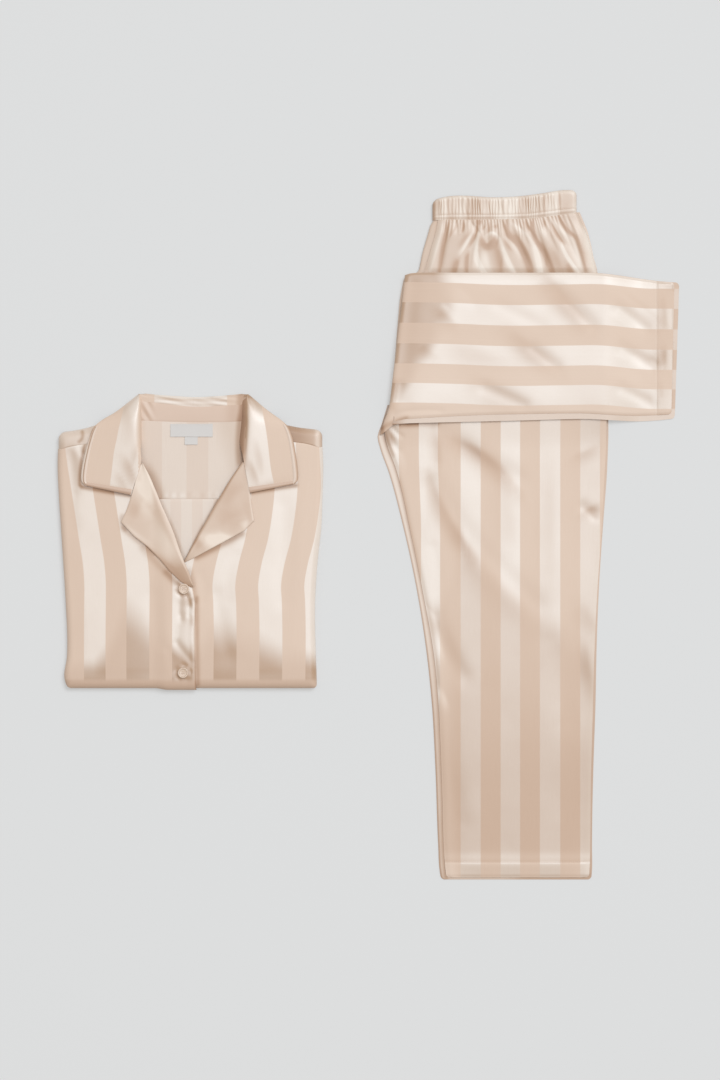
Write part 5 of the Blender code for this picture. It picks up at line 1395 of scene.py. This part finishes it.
HEM_SAG = 2.4           # how far the hem's stitches bow down in the middle
KNOT_REACH = (26.0, 24.0)           # the corner that's pulled into the knot: across and up
KNOT_PULLS = ((11.0, 1.4), (20.0, 1.6), (5.5, 1.5))     # how far it moves along x, y and z


def gather_phase(x):
    """Where in its wave a gather is: even over the elastic, then pushed about by two slow sines."""
    first, last = WAIST_GATHERED
    share = (x - first) / (last - first)
    return 2 * math.pi * (WAIST_GATHERS * share + 0.5 * np.sin(17 * share) + 0.26 * np.sin(41 * share))


def make_waistband(finish, thread):
    """Elastic waistband: uneven gathers between smooth ends, a row of stitches across them."""
    first, last = WAIST_GATHERED
    left, right = WAIST_ENDS
    rolled = roll_steps(HIP_ROLL, FINE)
    columns, lines = GRID["waistband"]
    x = np.concatenate([left + rolled, np.linspace(first, last, columns * WAIST_GATHERS)[1:],
                        np.linspace(last, right - HIP_ROLL, 16)[1:-1], (right - rolled)[::-1]])[None, :]
    low = WAIST_SEAM.at("y", x) - GAP
    top = WAIST_TOP.at("y", x) - corner_inset(np.minimum(x - left, right - x), WAIST_CORNER)
    line = between(low, top, WAIST_LINE)
    height = float(np.mean(top - low))
    up = np.concatenate([np.linspace(0, 0.78, lines), (1 - rolled / height)[::-1]])[:, None]
    y = between(low, top, up)
    x = np.broadcast_to(x, y.shape)
    side = nearest_edge(x - left, right - x, top - y)
    gathered = ease(first - 3, first + 3, x) * (1 - ease(last - 3, last + 3, x))
    share = (x - first) / (last - first)
    depth = 0.6 + 0.3 * np.sin(23 * share + 2) + 0.22 * np.sin(61 * share + y / 9)
    depth = depth * (0.35 + 0.65 * ease(-2, 3, y - line))
    wave = 0.5 - 0.5 * np.cos(gather_phase(x) + 0.5 * np.sin(y / 4 + x / 3) + 0.4 * np.sin(x / 5))
    z = (HIP_STACK + LAYER + WAIST_STAND - roll_drop(side, HIP_ROLL, HIP_DROP + WAIST_STAND)
         + 0.75 * WAIST_GATHER_HEIGHT * wave * depth * gathered * ease(0, 5, side)
         - groove(y - line, 1.4, 0.3) - groove(x - WAIST_END_SEAM, 1.0, 0.3) - 1.1 * near(5, y - low))
    # painted light and shade: lit zones along the band, light by slope, painted crease shade, ends and top
    # painted turned from the light, and painted shade at the stitch line and in the gathers' troughs
    crease_shade = streaks(WAIST_CREASE_SHADE, x, y)
    tone = 0.45 + WAIST_SHEEN.at("lit", x) + 0.9 * facing_light(x, y, z) + 0.10 * waves(x, y, 5) - crease_shade
    tone = tone * (1 - 0.5 * near(5, side))
    shade = (1.02 - 0.05 * groove(y - line, 1.0) - 0.12 * (1 - wave) ** 3 * depth * gathered
             - 0.2 * crease_shade)
    cloth("waist_casing", "waistband", finish, "trouser_cloth", x, y, z, 0.0, np.clip(tone, 0, 1), shade)

    path_x = np.linspace(*WAIST_STITCHED, 190)
    seam = WAIST_SEAM.at("y", path_x)
    path_y = GAP + between(seam, WAIST_TOP.at("y", path_x), WAIST_LINE)
    path_z = np.interp(path_x, x[0], z[np.argmin(np.abs(up - WAIST_LINE))]) + 0.25
    stitches("stitches_waist", thread, np.stack([path_x, path_y, path_z], axis=1),
             pitch=2.4, length=1.6, width=0.4)


def make_hip(finish):
    """Hip panel: deep soft folds run down from the waist seam, with small gathers at the seam."""
    columns, lines = GRID["hip"]
    up = np.linspace(0, 1, lines)[:, None]
    across = np.concatenate([np.linspace(0, 1 - HIP_SIDE, columns),
                             1 - HIP_SIDE * roll_steps(1, 14)[::-1][1:]])[None, :]
    level = between(HIP_LOW, HIP_SEAM_LEVEL, up)
    left, right = HIP_SIDES.at("left", level), HIP_SIDES.at("right", level)
    x = between(left, right, across)
    seam_y = WAIST_SEAM.at("y", x)
    y = between(HIP_LOW, seam_y + SEAM_TUCK, up)
    seam_x = between(*WAIST_ENDS, across)          # gathers fan out from here
    long = 15 + 7 * np.sin(seam_x / 5.3 + 1) + 5 * np.sin(seam_x / 2.1)
    at_seam = 1 - ease(0.3 * long, 1.6 * long, seam_y - y)
    start, end = HIP_GATHERED
    at_seam = at_seam * ease(*start, seam_x) * (1 - ease(*end, seam_x))
    wave = 0.5 - 0.5 * np.cos(gather_phase(seam_x))
    fine = at_seam * (0.4 * wave - 0.3) * ease(0, 8, right - x)
    fine = fine - groove(x - left - HIP_LINE, 2.0, 0.25) * (1 - ease(*HIP_LINE_END, y))
    fine = fine - np.minimum(0.7 * streaks(HIP_CREASES, x, y), 1.2) * ease(3, 12, right - x)
    lit = facing_light(x, y, hip_relief(x, y) + fine)
    z = hip_top(x, y) + fine * ease(*HIP_SHOWS, y) - under_seam(y - seam_y)
    # the folds are partly in the shape and partly painted: HIP_SHEEN paints their dark lines and highlights,
    # light by slope is painted from the shape, the small gathers are painted lighter and darker, and their
    # troughs and the left edge are painted in shade
    dark = streaks(HIP_SHEEN, x, y)
    small = at_seam * (wave - 0.5) * (0.5 + 0.5 * np.sin(seam_x / 7.7))
    tone = np.clip(0.44 + 0.8 * lit - 1.1 * dark + 0.5 * small, 0, 1)
    shade = 1.0 - 0.28 * np.clip(dark - 0.35, 0, 1) - 0.06 * at_seam * (1 - wave) ** 2
    shade = shade - 0.12 * near(5, x - left)
    cloth("hip_panel", "hip_front", finish, "trouser_cloth", x, y, z, 0.0, tone, shade)


def turned_grid(table, name):
    """Points of one panel of the turned leg: columns between its two long edges, lines across."""
    columns, lines = GRID[name]
    last = len(table.rows) - 1
    row = np.linspace(0, last, columns)[None, :]
    row = last * (1 - (1 - row / last) ** TURNED_SPREAD)
    top_x, top_y, low_x, low_y = (table.at(key, row) for key in table.columns[1:])
    top_y = top_y - corner_inset(top_x[0, -1] - top_x, TURNED_CORNER)
    low_y = low_y + corner_inset(low_x[0, -1] - low_x, TURNED_CORNER)
    up = 0.5 - 0.5 * np.cos(math.pi * np.linspace(*TURNED_LINES, lines)[:, None])
    up = (up - up[0]) / (up[-1] - up[0])
    x, y = between(low_x, top_x, up), between(low_y, top_y, up)
    left = between(low_x[0, 0], top_x[0, 0], up)
    return x, y, up, left, low_x[0, 0], low_y, top_y


def turned_count(x, y):
    """Stripes along the turned leg: they bow down in the middle and bend down at the hem."""
    start, end, drop = STRIPE_DROP
    return count_stripes(STRIPES_TURNED, y + drop * ease(start, end, x) + STRIPE_BOW.at("drop", x))


def make_turned_leg(finish, thread):
    """The leg turned across: under panel, then upper panel on it, a stitched hem at the right."""
    x, y, _, _, corner_x, _, _ = turned_grid(TURNED_UNDER, "turned_under")
    # the under panel's left end, by the knot, is painted in shade
    cloth("turned_leg_under", "leg_turned_back", finish, "trouser_cloth", x, y, turned_floor(x) + WALL,
          turned_count(x, y) - 0.5, 0.65, 0.96 - 0.42 * near(22, x - corner_x), 0.25)

    x, y, up, left, _, low_y, top_y = turned_grid(TURNED_OVER, "turned_over")
    before, stitch, _ = TURNED_HEM
    count = turned_count(x, y)
    from_fold, from_low, from_top = x - left, y - low_y, top_y - y
    fine = fold_depth(TURNED_CREASES, x, y) + 0.15 * (1 + waves(x, y, 19))
    kept = ease(0, 12, from_fold) * ease(0, 0.06, up) * (1 - ease(0.94, 1, up))
    kept = kept * (1 - ease(*TURNED_SMOOTH, x))
    from_edge = np.minimum(np.minimum(from_low, from_top), TURNED_EDGE - x)
    over = (LAYER + turned_crown(x, y, up, from_fold) - np.minimum(fine, 1.2) * kept
            - 1.0 * near(4, from_edge))
    # painted light and shade: the satin's shaded left end, sheen lines, light by slope where creases are
    # kept, a painted light line before the stitches, and painted shade at the hem, near the left fold, along
    # the low and top edges and at the knot
    edge = TURNED_DARK_END.at("x", y)
    dark = streaks(TURNED_SHEEN, x, y)
    at_hem = ease(before, stitch, x)
    tone = 1.0 - 0.8 * (1 - ease(edge - 14 + 6 * waves(x, y, 9), edge + 16, x)) - dark
    tone = tone + 1.6 * facing_light(x, y, over) * kept * (1 - ease(*TURNED_EVEN, x))
    tone = np.clip(tone - 0.06 * (1 + waves(x, y, 16)) - 0.2 * at_hem, 0, 1)
    shade = (1.02 - 0.03 * near(70, from_fold) + 0.035 * (1 - ease(200, 300, y)) - 0.03 * at_hem
             + 0.04 * groove(x - stitch + 3.4, 1.0) - 0.09 * dark)
    shade = shade - (0.08 + 0.07 * ease(160, 220, x)) * near(2, from_low)
    shade = shade - (0.1 + 0.05 * ease(300, 340, x)) * near(14, from_top)
    z = turned_floor(x) + WALL
    knot = near(KNOT_REACH[0], from_fold) * near(KNOT_REACH[1], from_low)
    x, y, z = (value - pull * knot ** power for value, (pull, power) in zip((x, y, z), KNOT_PULLS))
    shade = shade - fold_depth(KNOT_SHADE, x, y)
    cloth("turned_leg_over", "leg_turned_front", finish, "trouser_cloth", x, y, z + over, count, tone, shade)

    up = np.linspace(0, 1, 120)
    top_x, top_y, low_x, low_y = (TURNED_OVER.at(key, STITCHED_ROW) for key in TURNED_OVER.columns[1:])
    x, y = between(low_x, top_x, up), between(low_y, top_y, up)
    z = turned_floor(x) + WALL + LAYER + turned_crown(x, y, up, 1e3) + 0.1
    stitches("stitches_turned_hem", thread, np.column_stack([x, y, z])[3:-3])


def lower_grid(sides, hem, rows, columns, margin, left_columns, right_columns):
    """Points of one panel of the lower leg: rows up from a rounded hem, columns closer together
    over a margin at either side."""
    at_left, at_right = (margin * np.linspace(0, 1, n)[:-1] for n in (left_columns, right_columns))
    across = np.concatenate([at_left, np.linspace(margin, 1 - margin, columns),
                             1 - at_right[::-1]])[None, :]
    y = np.concatenate([hem + roll_steps(HEM_CORNER, FINE), *rows])[:, None]
    corner = corner_inset(y - hem, HEM_CORNER)
    left, right = sides.at("left", y) + corner, sides.at("right", y) - corner
    x = between(left, right, across)
    return x, np.broadcast_to(y, x.shape), across, left, right


def make_lower_leg(finish, thread):
    """The leg that runs down: under panel on the surface, upper panel on it, hem at the end."""
    columns, lines = GRID["lower_under"]
    rows = [np.linspace(LOWER_HEM + 9, LOWER_TOPS[0], lines)]
    x, y, across, left, _ = lower_grid(LOWER_UNDER, LOWER_HEM, rows, columns, 0.05, 14, 10)
    at_right = ease(0.4, 0.6, across)
    beside = LOWER_OVER.at("left", y) - x          # distance from the upper panel's left edge
    at_edge = 1 - ease(0.4, 3.2, x - left)
    # painted shade: the strip's outer edge and its right part turned from the light, a painted shadow beside
    # the upper panel's edge, darker down the leg, at the hem and by the knot
    tone = (0.8 - 0.35 * at_right - 0.5 * groove(beside, 3.0) - 0.4 * (1 - ease(-300, -60, y))
            - 0.6 * at_edge)
    shade = (1.03 - 0.08 * at_right - 0.08 * (1 - ease(LOWER_HEM + 6, LOWER_HEM + 16, y))
             - 0.07 * (1 - ease(*LEG_DIMS, y))
             - (0.06 + 0.24 * ease(*LEG_SIDE_SHADE, y)) * groove(beside, 2.6)
             - 0.26 * (1 - ease(0.4, 3, x - left)) * (1 - at_right) - fold_depth(STRIP_SHADE, x, y))
    cloth("lower_leg_under", "leg_lower_back", finish, "trouser_cloth", x, y, WALL, 0.2, tone, shade,
          0.25 + 0.5 * at_right, wall=WALL)

    hem, stitch = LOWER_HEM + HEM_SHOWS, LOWER_HEM + HEM_DEPTH
    columns, lines = GRID["lower_over"]
    rows = [np.linspace(hem + HEM_CORNER + 2, stitch + 6, 14),
            np.linspace(stitch + 8, LOWER_TOPS[1], lines)]
    x, y, _, left, right = lower_grid(LOWER_OVER, hem, rows, columns, 0.02, 8, 8)
    from_left, from_side = x - left, np.minimum(x - left, right - x)
    fine = fold_depth(LEG_CREASES, x, y) + 0.15 * (1 + waves(x, y, 21))
    z = lower_front_top(x, y) - np.minimum(fine, 1.4) * ease(1, 14, from_side) * ease(stitch, stitch + 30, y)
    z = z - groove(y - stitch, 0.9, 0.3) - 0.7 * near(7, from_side) * (1 - ease(*HIP_RAMP, y))
    z = z - 0.7 * near(5, y - hem)
    # painted light and shade: less bright below LEG_BAND and down the leg, sheen lines, light by slope, a
    # painted light band above the hem's stitches and a lighter hem, darker towards the right, a painted line
    # at the stitches, contact shade under the turned leg, and shade and light along the left edge
    down = 1 - ease(*LEG_DIMS, y)
    below_band = 1 - ease(-26, 30, y - LEG_BAND.straight("y", x))
    dark = streaks(LEG_SHEEN, x, y)
    lit = facing_light(x, y, z)
    tone = 1 - 0.36 * below_band - 0.09 * down - 0.8 * dark + 1.2 * lit + 0.22 * groove(y - stitch - 7, 6)
    tone = tone + 0.2 * (1 - ease(stitch - 2, stitch, y))
    dimmed = sum(amount * ease(low, high, x) for low, high, amount in LEG_DIM_RIGHT)
    tone = tone - dimmed * ease(*LEG_DIM_ROWS, y)
    shade = (1.02 - 0.16 * down - 0.13 * dark + 0.15 * lit * ease(6, 20, from_side)
             + 0.12 * (1 - ease(stitch - 2, stitch + 1, y)) + 0.05 * groove(y - stitch - 7, 7)
             - 0.04 * groove(y - stitch, 1.4) - fold_depth(LEG_CONTACT_SHADE, x, y)
             - 0.17 * ease(*LEG_SIDE_SHADE, y) * near(4, from_left)
             + 0.08 * (1 - ease(6, 30, from_left)) * (1 - ease(-130, -60, y)))
    pulled_rows, pulled_end = LEG_PULLED
    pull = LEG_STRIPE_PULL * ease(*pulled_rows, y) * (1 - ease(*pulled_end, x))
    cloth("lower_leg_over", "leg_lower_front", finish, "trouser_cloth", x, y, z,
          count_stripes(STRIPES_LEG, x + pull), np.clip(tone, 0, 1), shade)

    ends = [float(LOWER_OVER.at(side, stitch)) for side in ("left", "right")]
    path_x = np.linspace(ends[0] + 2, ends[1] - 2, 120)
    path_y = stitch - HEM_SAG * (1 - np.abs(np.linspace(-1, 1, 120)) ** 3) + HEM_SAG / 2
    path_z = lower_front_top(path_x, path_y) + 0.1
    stitches("stitches_leg_hem", thread, np.stack([path_x, path_y, path_z], axis=1))


# ---------------------------------------------------------------- the set
# colours of satin and matte in the light, and painted in shade
CREAM, CREAM_SHADED = colour(238, 227, 215), colour(187, 156, 128)
PEACH, PEACH_SHADED = colour(226, 204, 185), colour(216, 192, 172)

shirt = striped_cloth("shirt_satin", CREAM, CREAM_SHADED, PEACH, PEACH_SHADED)
trouser = striped_cloth("trouser_satin", CREAM, CREAM_SHADED, PEACH, PEACH_SHADED)
facing = plain_cloth("facing_satin", colour(240, 225, 209), colour(203, 174, 150))
bound = plain_cloth("bound_edge_satin", colour(238, 224, 210), colour(205, 176, 154))
inside = striped_cloth("inside_of_satin", colour(233, 222, 210), colour(224, 209, 194),
                       colour(226, 209, 194), colour(214, 192, 174), (0.55, 0.62), 0.1)
stand = plain_cloth("collar_band_matte", colour(226, 204, 187), colour(200, 172, 150), 0.6, 0.1)
gathered = plain_cloth("gathered_satin", colour(240, 229, 216), colour(196, 165, 140))
shell = shell_button("button_shell")
tape = woven_tape("label_tape")
thread = sewing_thread("sewing_thread", colour(230, 212, 196))

folded_layers("shirt_layers", "shirt_folded_layers", shirt, shirt_outline(), SHIRT_RIM, 0.5)
make_fronts(shirt)
make_shoulder_yokes(shirt)
make_inside_back(inside)
make_collar_stand(stand)
make_collar(shirt, bound, thread)
make_lapels(facing)
make_buttons(shell, thread)
make_labels(tape, thread)
folded_layers("trouser_layers", "trouser_folded_layers", trouser, HIP_STACK_OUTLINE,
              TROUSER_RIM, 0.4)
make_waistband(gathered, thread)
make_hip(gathered)
make_turned_leg(trouser, thread)
make_lower_leg(trouser, thread)

# ---------------------------------------------------------------- floor, light and camera
FLOOR_HALF = 4.0                    # metres, as all of this section
MIDDLE = (-0.0126, -0.007)          # the camera looks straight down at this point
CAMERA_HEIGHT = 3.57
LENS, SENSOR = 85, 36
SOFTBOX = (0.4, 0.5, 4.6)           # where the big soft light over the set hangs
PAPER = {"Roughness": 0.9, "Specular IOR Level": 0.1, "Base Color": colour(170, 171, 171),
         "Emission Strength": 0.447, "Emission Color": colour(226, 228, 228)}
SKY, SKY_STRENGTH = (1.08, 0.97, 0.88, 1), 0.40


def light(name, kind, **settings):
    """A light of a kind, with what that kind lets one set."""
    made = bpy.data.lights.new(name, kind)
    for key, value in settings.items():
        setattr(made, key, value)
    return made


corners = [(-FLOOR_HALF, -FLOOR_HALF, 0), (FLOOR_HALF, -FLOOR_HALF, 0), (FLOOR_HALF, FLOOR_HALF, 0),
           (-FLOOR_HALF, FLOOR_HALF, 0)]
floor_mesh = bpy.data.meshes.new("floor")
floor_mesh.from_pydata(corners, [], [(0, 1, 2, 3)])
floor_mesh.materials.append(Finish("pale_paper", PAPER).material)
put_in_scene("floor", floor_mesh)

away = np.array(SOFTBOX) - np.array([*MIDDLE, 0])       # the softbox faces the middle
softbox = put_in_scene(
    "overhead_softbox",
    light("overhead_softbox", "AREA", shape="SQUARE", size=3.2, energy=59.5, color=(0.93, 1.0, 1.10)),
    SOFTBOX, (math.acos(away[2] / np.linalg.norm(away)), 0, math.atan2(away[0], -away[1])))
softbox.visible_camera = False
put_in_scene("window", light("window", "SUN", energy=1.22, angle=math.radians(26), color=(0.95, 1.0, 1.05)),
             turn=(math.radians(33), 0, math.radians(140)))

world = bpy.data.worlds.new("studio")
bpy.context.scene.world = world
world.use_nodes = True
sky = world.node_tree.nodes["Background"]
sky.inputs["Color"].default_value = SKY
sky.inputs["Strength"].default_value = SKY_STRENGTH
bpy.context.scene.view_settings.view_transform = "Standard"

camera_data = bpy.data.cameras.new("camera")
camera_data.lens, camera_data.sensor_width = LENS, SENSOR
bpy.context.scene.camera = put_in_scene("camera", camera_data, (*MIDDLE, CAMERA_HEIGHT))
